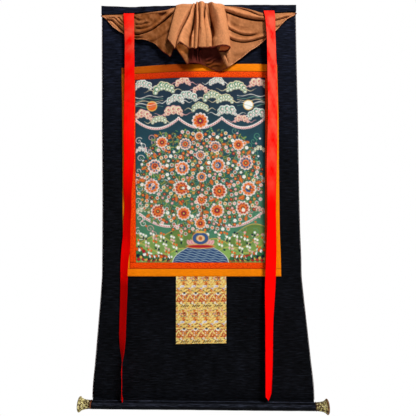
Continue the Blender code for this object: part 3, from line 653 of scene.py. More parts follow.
class Painting:
    """A sheet of colour over points x across and y down, in millimetres, on which one motif is laid over
    the other. A motif covers the points where its distance is below 0, with a soft edge."""

    def __init__(self, width, height, rows, columns, ground, soft_edge):
        self.x, self.y = np.meshgrid(np.linspace(0, width, columns), np.linspace(0, height, rows))
        self.cell = (width / (columns - 1), height / (rows - 1))
        self.colour = np.zeros((rows, columns, 3)) + ground
        self.soft_edge = soft_edge

    def near(self, x, y, reach):
        """The part of the sheet within reach of a point, and the points there counted from that point."""
        size = self.x.shape[::-1]
        first, last = (
            [int(np.clip((at + by) / cell + more, 0, end)) for at, cell, end in zip((x, y), self.cell, size)]
            for by, more in ((-reach, 0), (reach, 2))
        )
        part = (slice(first[1], last[1]), slice(first[0], last[0]))
        return part, self.x[part] - x, self.y[part] - y

    def lay(self, part, distance, colour, strength=1.0):
        cover = strength * np.clip(0.5 - distance / self.soft_edge, 0, 1)[..., None]
        self.colour[part] += (colour - self.colour[part]) * cover

    def wash(self, distance, colour, strength=1.0):
        """Lays a motif that may be anywhere on the sheet."""
        self.lay(slice(None), distance, colour, strength)

    def disc(self, x, y, radius, colour, flat=1.0):
        """A round, or an oval that is flat times as high as it is wide."""
        part, dx, dy = self.near(x, y, radius * max(flat, 1) + 3)
        self.lay(part, (np.hypot(dx, dy / flat) - radius) * min(flat, 1), colour)

    def petals(self, x, y, radius, count, depth, colour, turn=0.0):
        """A flower's outline: its radius swells and shrinks as the sine's size, count times round."""
        part, dx, dy = self.near(x, y, radius + 3)
        angle = np.arctan2(dy, dx) - turn
        edge = radius * (1 - depth + depth * np.abs(np.sin(count * angle / 2)) ** 0.6)
        self.lay(part, np.hypot(dx, dy) - edge, colour)

    def leaf(self, x, y, length, width, turn, colour, rib=None):
        """An almond between two arcs, pointing to turn, with a rib along its middle."""
        part, dx, dy = self.near(x, y, length + 2)
        along = dx * math.cos(turn) + dy * math.sin(turn)
        aside = np.abs(-dx * math.sin(turn) + dy * math.cos(turn))
        half = width / 2 * np.clip(1 - (2 * along / length - 1) ** 2, 0, 1)
        self.lay(part, np.where((along > 0) & (along < length), aside - half, 9.0), colour)
        if rib is not None:
            self.lay(part, np.where((along > 2) & (along < length - 2), aside - 0.5, 9.0), rib)

    def stroke(self, line, width, colour, taper=0.0):
        """A brush line through a list of points, width wide at its start and thinner by taper at its end."""
        middle = (line.min(0) + line.max(0)) / 2
        part, dx, dy = self.near(*middle, np.ptp(line, axis=0).max() / 2 + width + 2)
        if dx.size:
            gap = np.hypot(dx[..., None] - (line[:, 0] - middle[0]), dy[..., None] - (line[:, 1] - middle[1]))
            half = width / 2 * (1 - taper * np.linspace(0, 1, len(line)))
            self.lay(part, (gap - half).min(-1), colour)

    def spiral(self, x, y, radius, turns, start, hand, width, colour):
        """A scroll of a vine: it winds in from radius to nothing."""
        t = np.linspace(0, 1, int(40 * turns) + 8)
        reach = radius * (1 - t) ** 0.8
        angle = start + hand * 2 * np.pi * turns * t
        self.stroke(stacked(x + reach * np.cos(angle), y + reach * np.sin(angle)), width, colour, 0.5)

    def cloud(self, x, y, size, lobes, colours, seed):
        """A cloud of rolled lobes along an arch, each a rim, a body and a small curl in its middle."""
        rim, body, curl = colours
        for lift, shrink in ((0.0, 0.8), (0.45, 1.0)):
            for number, place in enumerate(np.linspace(-1, 1, lobes)):
                lobe = size * shrink * (0.30 + 0.07 * math.sin(3 * number + seed))
                at_x = x + place * size * (1 - 0.3 * lift)
                at_y = y + size * (0.42 * place * place - lift + 0.06 * math.sin(5 * number + seed))
                self.disc(at_x, at_y, lobe, rim)
                self.disc(at_x, at_y + 0.12 * lobe, lobe - 1.6, body)
                self.disc(at_x + 0.1 * lobe, at_y + 0.25 * lobe, lobe * 0.45, curl)
                self.disc(at_x + 0.1 * lobe, at_y + 0.3 * lobe, lobe * 0.22, rim)

    def flower(self, x, y, radius, pair, turn=0.0):
        """A full-blown flower: a pale halo, a ring of gold-edged petals, a second ring, and a dark eye."""
        outer, inner = pair
        # Columns: share of the radius, how much less in mm, petals, their depth, colour, further turn
        for share, less, count, depth, colour, further in (
            (1.22, 0, 12, 0.22, WHITE, 0),
            (1.10, 0, 12, 0.20, ROSE, 0),
            (1, 0, 10, 0.30, GOLD, 0.2),
            (1, 1.5, 10, 0.30, outer, 0.2),
            (0.66, 0, 8, 0.30, GOLD, 0),
            (0.66, 1.3, 8, 0.30, inner, 0),
        ):
            self.petals(x, y, radius * share - less, count, depth, colour, turn + further)
        self.disc(x, y, radius * 0.30, NAVY)
        self.disc(x, y, radius * 0.15, GOLD)


NAVY, TEAL, GREEN, HILL = srgb(16, 32, 54), srgb(30, 76, 84), srgb(66, 120, 92), srgb(132, 168, 84)
WHITE, CREAM, MIST, ROSE = srgb(240, 240, 232), srgb(226, 214, 176), srgb(110, 158, 136), srgb(226, 170, 168)
ORANGE, RUST, GOLD, CRIMSON = srgb(222, 94, 26), srgb(140, 44, 24), srgb(222, 176, 84), srgb(176, 28, 40)
LEAF, OLIVE, BLUE, FOAM = srgb(44, 104, 62), srgb(92, 84, 40), srgb(50, 84, 132), srgb(170, 196, 206)

PICTURE_WIDTH, PICTURE_HEIGHT = 450.0, 646.0
MIDDLE = PICTURE_WIDTH / 2
URN_Y = 562
# Clouds. Columns: x, y, size, number of lobes
CLOUDS = (
    (26, 20, 26, 6), (100, 34, 30, 7), (167, 14, 22, 6), (283, 14, 22, 6), (350, 34, 30, 7), (424, 20, 26, 6),
    (181, 66, 27, 6), (269, 66, 27, 6), (225, 40, 20, 5), (140, 76, 25, 6), (310, 76, 25, 6),
    (132, 118, 29, 7), (318, 118, 29, 7), (225, 104, 24, 6), (26, 128, 28, 6), (424, 128, 28, 6),
    (82, 146, 22, 5), (368, 146, 22, 5), (20, 250, 16, 4), (430, 250, 16, 4), (20, 356, 18, 4),
    (430, 356, 18, 4), (26, 462, 20, 4), (424, 462, 20, 4),
)


def paint_picture(rows, columns):
    """The picture's own design: a flowering tree in an urn between scrolling branches, under clouds, with
    festoons of petals above it and low green hills at its foot. It is worked out from rules alone."""
    cloth = Painting(PICTURE_WIDTH, PICTURE_HEIGHT, rows, columns, NAVY, 1.8)
    tones = np.array([NAVY, NAVY * 0.6 + TEAL * 0.4, TEAL, GREEN, GREEN * 1.1])
    sky = soft(cloth.y / PICTURE_HEIGHT, (0, 0.22, 0.42, 0.7, 1), tones)
    cloth.colour[:] = sky * (1 + 0.12 * ripple(cloth.x, cloth.y, 60, 0.2)[..., None])
    paint_land(cloth)
    paint_sky(cloth)
    paint_tree(cloth)
    paint_foot(cloth)
    return cloth.colour


def paint_land(cloth):
    """Hills, each a sine wave that bends down at both sides, and a stream with its waves."""
    for base, swing, pitch, shift, tone in (
        (560, 26, 240, 0.3, HILL * 0.55),
        (590, 22, 190, 2.1, HILL * 0.8),
        (618, 14, 150, 4.0, HILL),
    ):
        bend = 26 * np.abs(cloth.x / MIDDLE - 1)
        edge = base + swing * np.sin(cloth.x * 2 * np.pi / pitch + shift) - bend
        cloth.wash(edge - 1.6 - cloth.y, GOLD)
        cloth.wash(edge - cloth.y, tone)
        cloth.wash(np.abs(cloth.y - edge - 7) - 0.7, LEAF, 0.7)
    shore = 96 * (1 - ((cloth.y - 646) / 70) ** 2)
    water = np.where(cloth.y > 576, np.abs(cloth.x - MIDDLE) - shore, 99.0)
    cloth.wash(water - 2, WHITE)
    cloth.wash(water, BLUE * 0.7)
    for number in range(9):
        wave = cloth.y - 584 - 8 * number - 2 * np.sin(cloth.x / 5 + number)
        cloth.wash(np.maximum(np.abs(wave) - 0.7, water + 3), FOAM)


def paint_sky(cloth):
    """A sun and a moon, clouds with two tails each, bands of mist, and festoons of petals on parabolas."""
    for x, tone in ((58, ORANGE), (392, WHITE)):
        cloth.disc(x, 96, 18, GOLD)
        cloth.disc(x, 96, 15, tone)
    tail, t = np.linspace(0, 1, 30), np.linspace(0, 1, 60)
    for number, (x, y, size, lobes) in enumerate(CLOUDS):
        tones = ((WHITE, MIST, ROSE), (CREAM, GREEN * 1.3, WHITE), (ROSE, CREAM, CRIMSON))[number % 3]
        for end in (-1, 1):
            tail_x, tail_y = end * size * (0.8 + 1.5 * tail), size * 0.3 + 4 * np.sin(7 * tail + number)
            cloth.stroke(stacked(x + tail_x, y + tail_y), 3.4, tones[0], 0.9)
        cloth.cloud(x, y, size, lobes, tones, number)
    for side in (-1, 1):
        for number in range(5):
            waves = 62 + 9 * number + 5 * np.sin(9 * t + number) * (1 - t * 0.5)
            line = stacked(MIDDLE + side * (225 - 96 * t), waves)
            cloth.stroke(line, 2.4, (WHITE, MIST, CREAM)[number % 3], 0.6)
    # Columns: how low, span, depth, the festoons' places in spans, number of petals
    for low, span, depth, places, petals in ((176, 150, 34, (-1, 0, 1), 25), (520, 210, 44, (-0.5, 0.5), 35)):
        for place in places:
            for step in np.linspace(-1, 1, petals):
                x, y = MIDDLE + place * span + step * span / 2, low - depth * step * step
                cloth.disc(x, y, 4.6, WHITE)
                cloth.disc(x, y + 0.8, 3.3, ROSE)
                cloth.disc(x, y + 1.4, 1.5, CRIMSON)
    # Curls of mist at both sides of the tree
    for number in range(70):
        side = -1 if number % 2 else 1
        share_x, share_y = strewn(number)
        x, y = MIDDLE + side * (120 + 100 * share_x), 186 + 380 * share_y
        cloth.spiral(x, y, 13, 1.3, number, side, 2.0, (MIST, WHITE, GREEN * 1.6, ROSE)[number % 4])
        cloth.petals(x + 9, y + 9, 3.6, 5, 0.35, (ROSE, WHITE, ORANGE)[number % 3], number)


def paint_tree(cloth):
    """The tree: its trunk, leaves all round it, branches that wind up at both sides, each a pair of spirals
    with a wreath of leaves and a flower, and small blossoms over the green."""
    rise = np.linspace(0, 1, 90)
    for aside, width, tone in ((0, 11, RUST), (1.5, 3, GOLD)):
        line = stacked(MIDDLE + 5 * np.sin(7 * rise) - aside, 540 - 400 * rise)
        cloth.stroke(line, width, tone, 0.6)
    pairs = ((ORANGE, CRIMSON), (CRIMSON, ORANGE), (ORANGE, BLUE), (BLUE, ORANGE))
    greens = (LEAF, LEAF * 0.6, GREEN, LEAF * 1.8, OLIVE, MIST * 0.8)
    for number, x, y, angle in seed_head(900, MIDDLE, 356, 7.0, 1, 0):
        if 4 < x < PICTURE_WIDTH - 4 and 182 < y < 552:
            turn = angle + 1.1 * math.sin(number)
            cloth.leaf(x, y, 15, 8.5, turn, NAVY)
            cloth.leaf(x, y, 13.5, 6.6, turn, greens[number % 6], MIST if number % 3 else GOLD)
    for tier, (y, reach, size) in enumerate(((470, 58, 25), (392, 66, 27), (312, 62, 25), (238, 52, 21))):
        for side in (-1, 1):
            for ring in (0, 1):
                x = MIDDLE + side * (reach + ring * (reach * 1.55))
                at_y = y - 8 * ring + 10 * side * (tier % 2 - 0.5)
                start = (0.5 if side > 0 else math.pi - 0.5) + 2.4 * side
                for width, tone in ((4.4, OLIVE), (1.8, GOLD)):
                    cloth.spiral(x, at_y, size * 1.9, 1.1, start, side, width, tone)
                for number in range(11):
                    turn = number * 2 * math.pi / 11 + tier
                    foot_x, foot_y = x + size * 1.12 * math.cos(turn), at_y + size * 1.12 * math.sin(turn)
                    tone = (LEAF, LEAF * 1.6, ORANGE * 0.8)[number % 3]
                    cloth.leaf(foot_x, foot_y, size * 0.85, size * 0.42, turn + 0.5 * side, tone, GOLD)
                cloth.flower(x, at_y, size * 0.82, pairs[(tier + ring) % 4], tier)
    for number, y in enumerate((510, 428, 348, 272, 206)):
        cloth.flower(MIDDLE + 5 * math.sin(number), y, 17 - number, pairs[number % 4], number)
    cloth.flower(MIDDLE, 152, 24, (ORANGE, CRIMSON), 0.3)
    rows, columns = cloth.x.shape
    for number, x, y, _ in seed_head(520, MIDDLE, 366, 9.6, 3, 1):
        if not (6 < x < PICTURE_WIDTH - 6 and 190 < y < 556):
            continue
        ground = cloth.colour[int(y / PICTURE_HEIGHT * (rows - 1)), int(x / PICTURE_WIDTH * (columns - 1))]
        if ground[1] > ground[0] * 1.1 and ground[1] < 0.3:
            tone = (ORANGE, ROSE, CRIMSON, GOLD, ORANGE, WHITE, RUST)[number % 7]
            cloth.petals(x, y, 6.4, 6, 0.3, WHITE if number % 2 else NAVY, number)
            cloth.petals(x, y, 4.9, 5, 0.35, tone, number)
            cloth.disc(x, y, 1.5, CRIMSON if number % 7 == 3 else GOLD)


def paint_foot(cloth):
    """Tufts of grass and small flowers on the hills, the urn on its stand of petals, and clumps of shrubs."""
    for number in range(420):
        share_x, share_y = strewn(number)
        x, y = share_x * PICTURE_WIDTH, 548 + share_y * 94
        if abs(x - MIDDLE) < 58 + max(0, y - 580) * 0.7:
            continue
        for lean in (-3, 0, 3):
            tone = (LEAF, CREAM, HILL * 1.3)[number % 3]
            cloth.stroke(np.linspace((x, y), (x + lean, y - 6), 5), 1.3, tone)
        if number % 2 == 0:
            tone = (WHITE, ROSE, ORANGE, WHITE, NAVY)[number // 2 % 5]
            cloth.petals(x, y - 7, 4.2, 5, 0.35, tone, number)
    for place in range(-4, 5):
        cloth.leaf(MIDDLE + 9 * place, 586, 22, 13, math.radians(-90 + 7 * place), ROSE, CRIMSON)
    # The urn's foot and body. Columns: y, radius, flatness, colour
    for y, radius, flat, tone in (
        (590, 50, 0.16, GOLD),
        (590, 47, 0.12, CRIMSON),
        (URN_Y, 30, 0.75, GOLD),
        (URN_Y, 28, 0.75, BLUE),
        (URN_Y, 15, 0.75, GOLD),
    ):
        cloth.disc(MIDDLE, y, radius, tone, flat)
    cloth.flower(MIDDLE, URN_Y, 9, (ORANGE, CRIMSON))
    cloth.disc(MIDDLE, 540, 19, GOLD, 0.2)
    for number in range(110):
        side = -1 if number % 2 else 1
        share, share_y = strewn(number)
        x = MIDDLE + side * (106 + 118 * share)
        y = 638 - (12 + 40 * share**2 * (0.6 + 0.4 * math.sin(9 * share))) * share_y
        tone = (ORANGE, LEAF, CRIMSON, LEAF * 1.5, GOLD, WHITE, NAVY)[number % 7]
        cloth.petals(x, y, 8, 7, 0.3, LEAF * 0.5, number)
        cloth.petals(x, y, 6.2, 7, 0.3, tone, number)


# The brocade's tile, from the middle of its first eye and its top, with the eyes at 0 and 56
TILE_WIDTH, TILE_HEIGHT, FIRST_EYE = 39.0, 125.0, 29.0
BRIGHT, PALE, AMBER, RUSSET = srgb(242, 182, 76), srgb(252, 230, 138), srgb(234, 132, 30), srgb(204, 86, 20)
BROWN, SLATE, DARK_OLIVE, INK = srgb(104, 52, 22), srgb(104, 104, 98), srgb(64, 54, 28), srgb(30, 28, 66)
CUP, LILAC, PINK, RED = srgb(246, 244, 236), srgb(206, 200, 226), srgb(232, 168, 150), srgb(214, 60, 30)
# Columns: x, y, radius, flatness, petals or 0 for a disc, colour
SPOTS = (
    (1, 5, 7.5, 1, 5, RUSSET), (1, 5, 3.6, 1, 5, BROWN), (-13, 6, 5, 0.8, 0, PINK),
    (-18, 15, 4, 0.8, 0, PALE), (-2, 23, 8.5, 0.5, 6, AMBER), (0, 24, 4.5, 0.6, 5, RUSSET),
    (14, 21, 6, 0.5, 0, PALE), (-7, 34, 8.5, 0.48, 0, CUP), (-5, 34.5, 5, 0.5, 0, LILAC),
    (12, 33, 5, 0.5, 0, PALE), (19, 42, 3.6, 0.9, 0, LILAC), (17, 49, 5, 0.8, 5, AMBER),
    (0, 60, 8.4, 0.72, 0, CUP), (0, 55, 7.4, 0.5, 0, BRIGHT), (0, 57.5, 4.3, 0.9, 0, INK),
    (-12, 67, 5.5, 0.9, 5, RUSSET), (9, 70, 6, 0.9, 5, RUSSET), (-2, 72, 5.5, 0.8, 0, AMBER),
    (19, 62, 4.5, 0.7, 5, RUSSET), (17, 82, 6, 1, 4, RUSSET), (23, 87, 5.5, 1, 4, RUSSET),
    (20, 85, 3.2, 1, 4, RED), (-14, 79, 4, 1, 4, RUSSET), (-1, 80, 6, 0.45, 0, CUP),
    (1, 80.5, 3.6, 0.5, 0, SLATE), (9, 91, 5, 0.5, 0, PALE), (-10, 93, 4.6, 0.6, 0, CUP),
    (16, 97, 5, 0.5, 0, PALE), (-15, 112, 5, 0.6, 0, PALE), (5, 113, 4, 0.6, 0, CUP),
    (14, 119, 4.4, 0.7, 0, PINK), (-3, 121, 5.5, 0.5, 5, AMBER),
)
# Columns: from x and y, to x and y, width, colour
DASHES = (
    (-12, 12, -5, 15, 2.8, SLATE), (-5, 15, 3, 12, 2.8, SLATE), (4, 13, 10, 15, 2.4, SLATE),
    (-1, 44, 6, 40, 2.8, DARK_OLIVE), (6, 40, 14, 42, 2.8, BROWN), (14, 42, 20, 47, 2.4, DARK_OLIVE),
    (-14, 49, -6, 51, 3, DARK_OLIVE), (6, 52, 13, 49, 2.6, BROWN), (-19, 64, -28, 77, 4.6, PALE),
    (-19, 64, -11, 77, 4.6, PALE), (-19, 69, -24, 77, 2.2, RUSSET), (-19, 69, -15, 77, 2.2, RUSSET),
    (-5, 67, 3, 76, 2.6, RUSSET), (6, 63, 14, 71, 2.6, RUSSET), (-12, 79, -5, 87, 3, RUSSET),
    (12, 88, 20, 80, 3, RUSSET), (-11, 106, -6, 100, 3.4, DARK_OLIVE), (-4, 106, 1, 101, 3.4, DARK_OLIVE),
    (3, 105, 8, 100, 3.4, BROWN), (10, 105, 15, 101, 3.4, DARK_OLIVE), (-8, 99, 4, 98, 1.8, BROWN),
    (-16, 94, -12, 97, 2, DARK_OLIVE), (2, 109, 8, 112, 2, SLATE), (-12, 117, -4, 115, 2.2, SLATE),
    (8, 27, 13, 30, 2.4, SLATE),
)


def paint_door(rows, columns):
    """The brocade's repeat, 39 mm across and 125 mm down, charted in bands: blossoms, a wave line, orange
    blotches, pale patches, arches, round eyes in white cups, chevrons, rust scrolls and dark dashes."""
    cloth = Painting(DOOR_WIDTH, DOOR_HEIGHT, rows, columns, BRIGHT, 1.0)
    glint = ripple(cloth.x, cloth.y * 1.3, 11, 0.7)[..., None]
    cloth.colour += (PALE - BRIGHT) * np.clip(0.5 + 1.6 * glint, 0, 1)
    warm = np.abs(np.mod(cloth.y, TILE_HEIGHT) - 76) - 12 - 4 * np.sin(cloth.x * 4 * np.pi / TILE_WIDTH)
    cloth.wash(warm, AMBER, 0.8)
    scattered = (AMBER, PALE, RUSSET, CUP, AMBER, PALE, BROWN, PINK, AMBER, BRIGHT, SLATE)
    for tile_y in range(-1, int(DOOR_HEIGHT / TILE_HEIGHT) + 1):
        for tile_x in range(-1, int(DOOR_WIDTH / TILE_WIDTH) + 2):
            left, top = FIRST_EYE + tile_x * TILE_WIDTH, tile_y * TILE_HEIGHT
            for number, (dx, dy, radius, flat, lobes, tone) in enumerate(SPOTS):
                x, y = left + dx + 0.8 * (tile_x % 2), top + dy
                if lobes:
                    cloth.petals(x, y, radius, lobes, 0.35, tone, number + tile_x)
                else:
                    cloth.disc(x, y, radius, tone, flat)
            for x0, y0, x1, y1, thick, tone in DASHES:
                cloth.stroke(np.linspace((left + x0, top + y0), (left + x1, top + y1), 8), thick, tone)
            # Floats of every thread colour at a slant, scattered between the eyes
            for number in range(110):
                share_x, share_y = strewn(number)
                dx, dy = share_x * TILE_WIDTH - 19, share_y * TILE_HEIGHT
                if (abs(dx) > 10 or abs(dy - 58) > 9) and abs(dy - 34) > 5 and abs(dy - 103) > 5:
                    foot = np.array([left + dx, top + dy])
                    slant = 4.2 * np.array([math.cos(number), 0.6 * math.sin(number)])
                    cloth.stroke(np.linspace(foot, foot + slant, 4), 2.5, scattered[number % 11])
    # Where the floats part, the ground thread darkens or lightens them
    parted = ripple(cloth.x, cloth.y * 1.3, 8, 1.3)[..., None]
    cloth.colour *= 1 - 0.45 * np.clip(4 * (parted - 0.3), 0, 1) * np.array([0.6, 0.9, 1.0])
    cloth.colour += (PALE - cloth.colour) * np.clip(3 * (-parted - 0.35), 0, 0.5)
    return cloth.colour


# ---------------------------------------------------------------- finishes

# Blender's wave texture repeats every 2 pi / 20 of its coordinate
WAVE_LENGTH = 2 * math.pi / 20
# Columns: gloss, roughness, pitch and depth of the threads in mm, how strongly the colour varies, the scales
# of the streaks across and down for each metre, sheen
WEAVES = {
    "Black cotton": (0.03, 0.6, 1.1, 0.35, 0.8, 30, 260, 0.0),
    "Inner silk": (0.03, 0.5, 0.9, 0.2, 0.16, 60, 260, 0.03),
    "Outer silk": (0.03, 0.5, 0.9, 0.2, 0.16, 60, 260, 0.03),
    "Painted cloth": (0.15, 0.55, 0.8, 0.12, 0.22, 170, 170, 0.03),
    "Gold brocade": (0.3, 0.42, 0.7, 0.3, 0.35, 900, 500, 0.02),
    "Brown silk": (0.02, 0.5, 0.9, 0.25, 0.22, 170, 120, 0.0),
    "Red satin": (0.02, 0.42, 0.6, 0.1, 0.12, 420, 14, 0.0),
}
# Painted highlights and painted shade on the ground cloth round the roller. Columns: where it starts, is full
# and ends down the cloth in metres, and how much paler or darker it is there
SLEEVE_PAINTED_LIGHT = ((1.4250, 1.4305, 1.4535, 4.6), (1.4345, 1.4380, 1.4535, 0.3), (1.444, 1.448, 1.4535, 10.0))


def fill(tree, sockets, values):
    """Fills input sockets. A value is a number, a colour, or a socket to link from."""
    for key, value in values.items():
        if isinstance(value, bpy.types.NodeSocket):
            tree.links.new(value, sockets[key])
        elif sockets[key].type == "RGBA":
            sockets[key].default_value = (*value[:3], 1.0)
        else:
            sockets[key].default_value = value


def add_node(tree, kind, inputs=None, **settings):
    made = tree.nodes.new("ShaderNode" + kind)
    for key, value in settings.items():
        setattr(made, key, value)
    fill(tree, made.inputs, inputs or {})
    return made


class Finish:
    """A Principled material that is put together step by step: colour is its colour so far, and place the
    coordinates that its patterns follow. A share says where a step takes hold, from 0 to 1."""

    def __init__(self, name, sockets, uv_map=None):
        self.material = bpy.data.materials.new(name)
        self.material.use_nodes = True
        self.tree = self.material.node_tree
        self.set(sockets)
        if uv_map:
            self.place = self.add("UVMap", uv_map=uv_map).outputs[0]
        else:
            self.place = self.add("TexCoord").outputs["Object"]

    def set(self, sockets):
        fill(self.tree, self.tree.nodes["Principled BSDF"].inputs, sockets)

    def add(self, kind, inputs=None, **settings):
        return add_node(self.tree, kind, inputs, **settings)

    def mark(self, name, output="Fac"):
        """What the mesh carries for each point under that name."""
        return self.add("Attribute", attribute_name=name).outputs[output]

    def maths(self, operation, *values):
        return self.add("Math", dict(enumerate(values)), operation=operation).outputs[0]

    def times(self, value, factor, plus=0.0):
        """A value times a factor, plus another value."""
        return self.maths("MULTIPLY_ADD", value, factor, plus)

    def clamped(self, value, factor, plus=0.0):
        """The same, held from 0 to 1."""
        return self.add("Clamp", {"Value": self.times(value, factor, plus)}).outputs[0]

    def spread(self, value, low, high, top=1.0):
        """The values from low to high made 0 to top."""
        inputs = {"Value": value, "From Min": low, "From Max": high, "To Max": top}
        return self.add("MapRange", inputs).outputs[0]

    def mix(self, share, first, second, blend="MIX"):
        inputs = {"Factor": share, 6: first, 7: second}
        return self.add("Mix", inputs, data_type="RGBA", blend_type=blend).outputs[2]

    def cover(self, share, colour):
        self.colour = self.mix(share, self.colour, colour)

    def tint(self, share, colour):
        """Multiplies the colour so far by another one."""
        self.colour = self.mix(share, self.colour, colour, "MULTIPLY")

    def patches(self, scale, low, high, detail=3.0):
        """Soft patches: noise whose values from low to high become 0 to 1. scale is a number an axis."""
        place = self.add("Mapping", {"Vector": self.place, "Scale": scale}).outputs[0]
        noise = self.add("TexNoise", {"Vector": place, "Scale": 1.0, "Detail": detail})
        return self.spread(noise.outputs["Fac"], low, high)

    def threads(self, pitch, direction):
        """One set of threads: a sine wave of that pitch in millimetres."""
        inputs = {"Vector": self.place, "Scale": WAVE_LENGTH / (pitch * MM)}
        return self.add("TexWave", inputs, wave_type="BANDS", bands_direction=direction).outputs["Fac"]

    def relief(self, height, depth, strength=1.0):
        """Bumps the surface by a height of 0 to 1, depth millimetres deep."""
        inputs = {"Height": height, "Distance": depth * MM, "Strength": strength}
        self.set({"Normal": self.add("Bump", inputs).outputs["Normal"]})

    def done(self):
        self.set({"Base Color": self.colour})
        return self.material


def cloth_finish(name, colour, painting=None):
    """A woven cloth on its own UV map, dyed one colour or painted with a colour that the mesh carries."""
    gloss, roughness, pitch, depth, contrast, across, down, sheen = WEAVES[name]
    base = np.array(colour[:3])
    sockets = {"Roughness": roughness, "Specular IOR Level": gloss, "Sheen Weight": sheen}
    sockets |= {"Sheen Roughness": 0.45, "Sheen Tint": 0.5 + 0.5 * base}
    cloth = Finish(name, sockets, "Cloth")
    streaks = cloth.patches((across, down, 1), 0.3, 0.7)
    broad = cloth.times(cloth.patches((9, 7, 1), 0.3, 0.7, 2), 0.35)
    tone = cloth.times(streaks, 0.65, broad)
    if painting:
        cloth.colour = cloth.mark(painting, "Color")
        cloth.tint(1.0, cloth.mix(tone, (1 - contrast,) * 3, (1, 1, 1)))
    else:
        cloth.colour = cloth.mix(tone, base * (1 - contrast), base * (1 + contrast))
    warp, weft = (cloth.times(cloth.threads(pitch, direction), 0.5) for direction in "XY")
    cloth.relief(cloth.maths("ADD", cloth.maths("ADD", warp, weft), streaks), depth)
    return cloth


def ground_finish(colours):
    """Black cotton: fine slubs across it, darker threads between them, painted light and shade at top and
    sleeve.
    """
    cloth = cloth_finish("Black cotton", colours.ground)
    drop = cloth.add("SeparateXYZ", {"Vector": cloth.place}).outputs["Y"]
    # Painted light: paler and bluer towards the top, where the key light falls strongest
    cloth.cover(cloth.spread(drop, 0.62, 0.0, 0.8), np.array(colours.ground[:3]) * (2.6, 3.0, 4.4))
    # Painted highlights and painted shade in bands round the roller
    for start, full, end, tint in SLEEVE_PAINTED_LIGHT:
        above = cloth.maths("LESS_THAN", drop, end)
        cloth.tint(cloth.times(cloth.spread(drop, start, full), above), (tint,) * 3)
    cloth.tint(cloth.patches((24, 330, 1), 0.50, 0.70), (3.3, 3.4, 3.5))
    cloth.tint(cloth.patches((44, 260, 1), 0.48, 0.66), (0.2, 0.2, 0.25))
    return cloth.done()


def piping_finish(colours):
    """Maroon cord: twisted strands at a slant."""
    cord = Finish("Maroon piping", {"Roughness": 0.9, "Specular IOR Level": 0.0})
    strands = cord.threads(3.2, "DIAGONAL")
    base = np.array(colours.piping[:3])
    cord.colour = cord.mix(strands, base * 0.6, base * 1.35)
    cord.relief(strands, 0.4)
    return cord.done()


def border_finish(name, colour, figured):
    """Border silk: a satin ground, and on the figured one a small speckle of darker and lighter wefts.
    A row of stitches darkens it just inside its edges."""
    cloth = cloth_finish(name, colour)
    base = np.array(colour[:3])
    if figured:
        cloth.cover(cloth.patches((330, 270, 1), 0.46, 0.62, 2), base * (0.52, 0.33, 0.5))
        lifted = cloth.times(cloth.patches((230, 290, 1), 0.54, 0.66, 1), 0.6)
        cloth.cover(lifted, base * (1, 2, 4))
    # Painted shadow of the veil's bunch on the top strips
    cloth.tint(cloth.mark("painted_shade"), (0.62, 0.38, 0.3) if figured else (0.36, 0.19, 0.06))
    cloth.cover(cloth.clamped(cloth.mark("edge"), -0.45, 0.45), base * 0.35)
    return cloth.done()


def veil_finish(colours):
    """Thin silk: broad tonal drifts, a fine weave, a soft sheen, a dark stitched hem, painted light and
    shade.
    """
    silk = cloth_finish("Brown silk", colours.veil)
    painted_shade, hem, hollow = np.array(colours.veil_painted_shade[:3]), np.array(colours.hem[:3]), silk.mark("hollow")
    drift = silk.times(silk.patches((60, 45, 1), 0.35, 0.65), 0.4, 0.7)
    # Painted shade on the swag's wings and on the flap under the bunch, made patchy by the drift
    silk.cover(silk.times(silk.mark("painted_shade"), drift), painted_shade)
    # Painted shade in the hollow under the bunch, with painted light towards its lower right
    silk.cover(silk.mark("under"), silk.mix(silk.mark("painted_light"), colours.veil_under_shade, painted_shade * (0.7, 0.55, 0.3)))
    # Painted shade in the creases, darkest in the deepest, and painted highlights on the ridges
    silk.tint(silk.clamped(hollow, 1.2), (0.34, 0.20, 0.10))
    silk.tint(silk.clamped(hollow, 1.8, -0.8), (0.25, 0.18, 0.2))
    silk.tint(silk.clamped(hollow, -0.9), (1.38, 1.38, 1.5))
    # Painted light inside the open loop and on the cuff, and a painted highlight along the rolled hem
    for mark, tint in (("loop", (1.8, 1.05, 0.75)), ("cuff_painted_light", (4.5, 4.2, 3.4)), ("rolled", (1.5, 1.6, 1.9))):
        silk.tint(silk.mark(mark), tint)
    silk.cover(silk.mark("hem"), hem)
    dashes = silk.maths("GREATER_THAN", silk.threads(8.0, "X"), 0.55)
    stitches = silk.times(dashes, 0.7, 0.15)
    silk.cover(silk.times(silk.mark("seam"), stitches), hem * 0.8)
    return silk.done()


def ribbon_finish(colours):
    """Red satin ribbon: long floats down its length, a tighter edge, and painted highlights and shade."""
    satin = cloth_finish("Red satin", colours.ribbon)
    satin.set({"Anisotropic": 0.35})
    # Painted highlight: a paler coral for the satin's sheen
    satin.cover(satin.mark("painted_sheen"), colours.ribbon_painted_sheen)
    satin.cover(satin.mark("edge"), np.array(colours.ribbon[:3]) * 0.6)
    # Painted shade on the left ribbon's lower part
    satin.tint(satin.mark("painted_shade"), (0.62, 0.5, 0.5))
    return satin.done()


def wood_finish(colours):
    """Stained wood: long grain along the dowel and darker pores."""
    wood = Finish("Stained wood", {"Roughness": 0.5, "Coat Weight": 0.2})
    base = np.array(colours.wood[:3])
    grain = wood.patches((18, 420, 420), 0.3, 0.7, 5)
    wood.colour = wood.mix(grain, base * 0.55, base * 1.3)
    wood.cover(wood.patches((60, 1600, 1600), 0.6, 0.75, 2), base * 0.25)
    wood.relief(grain, 0.3)
    return wood.done()


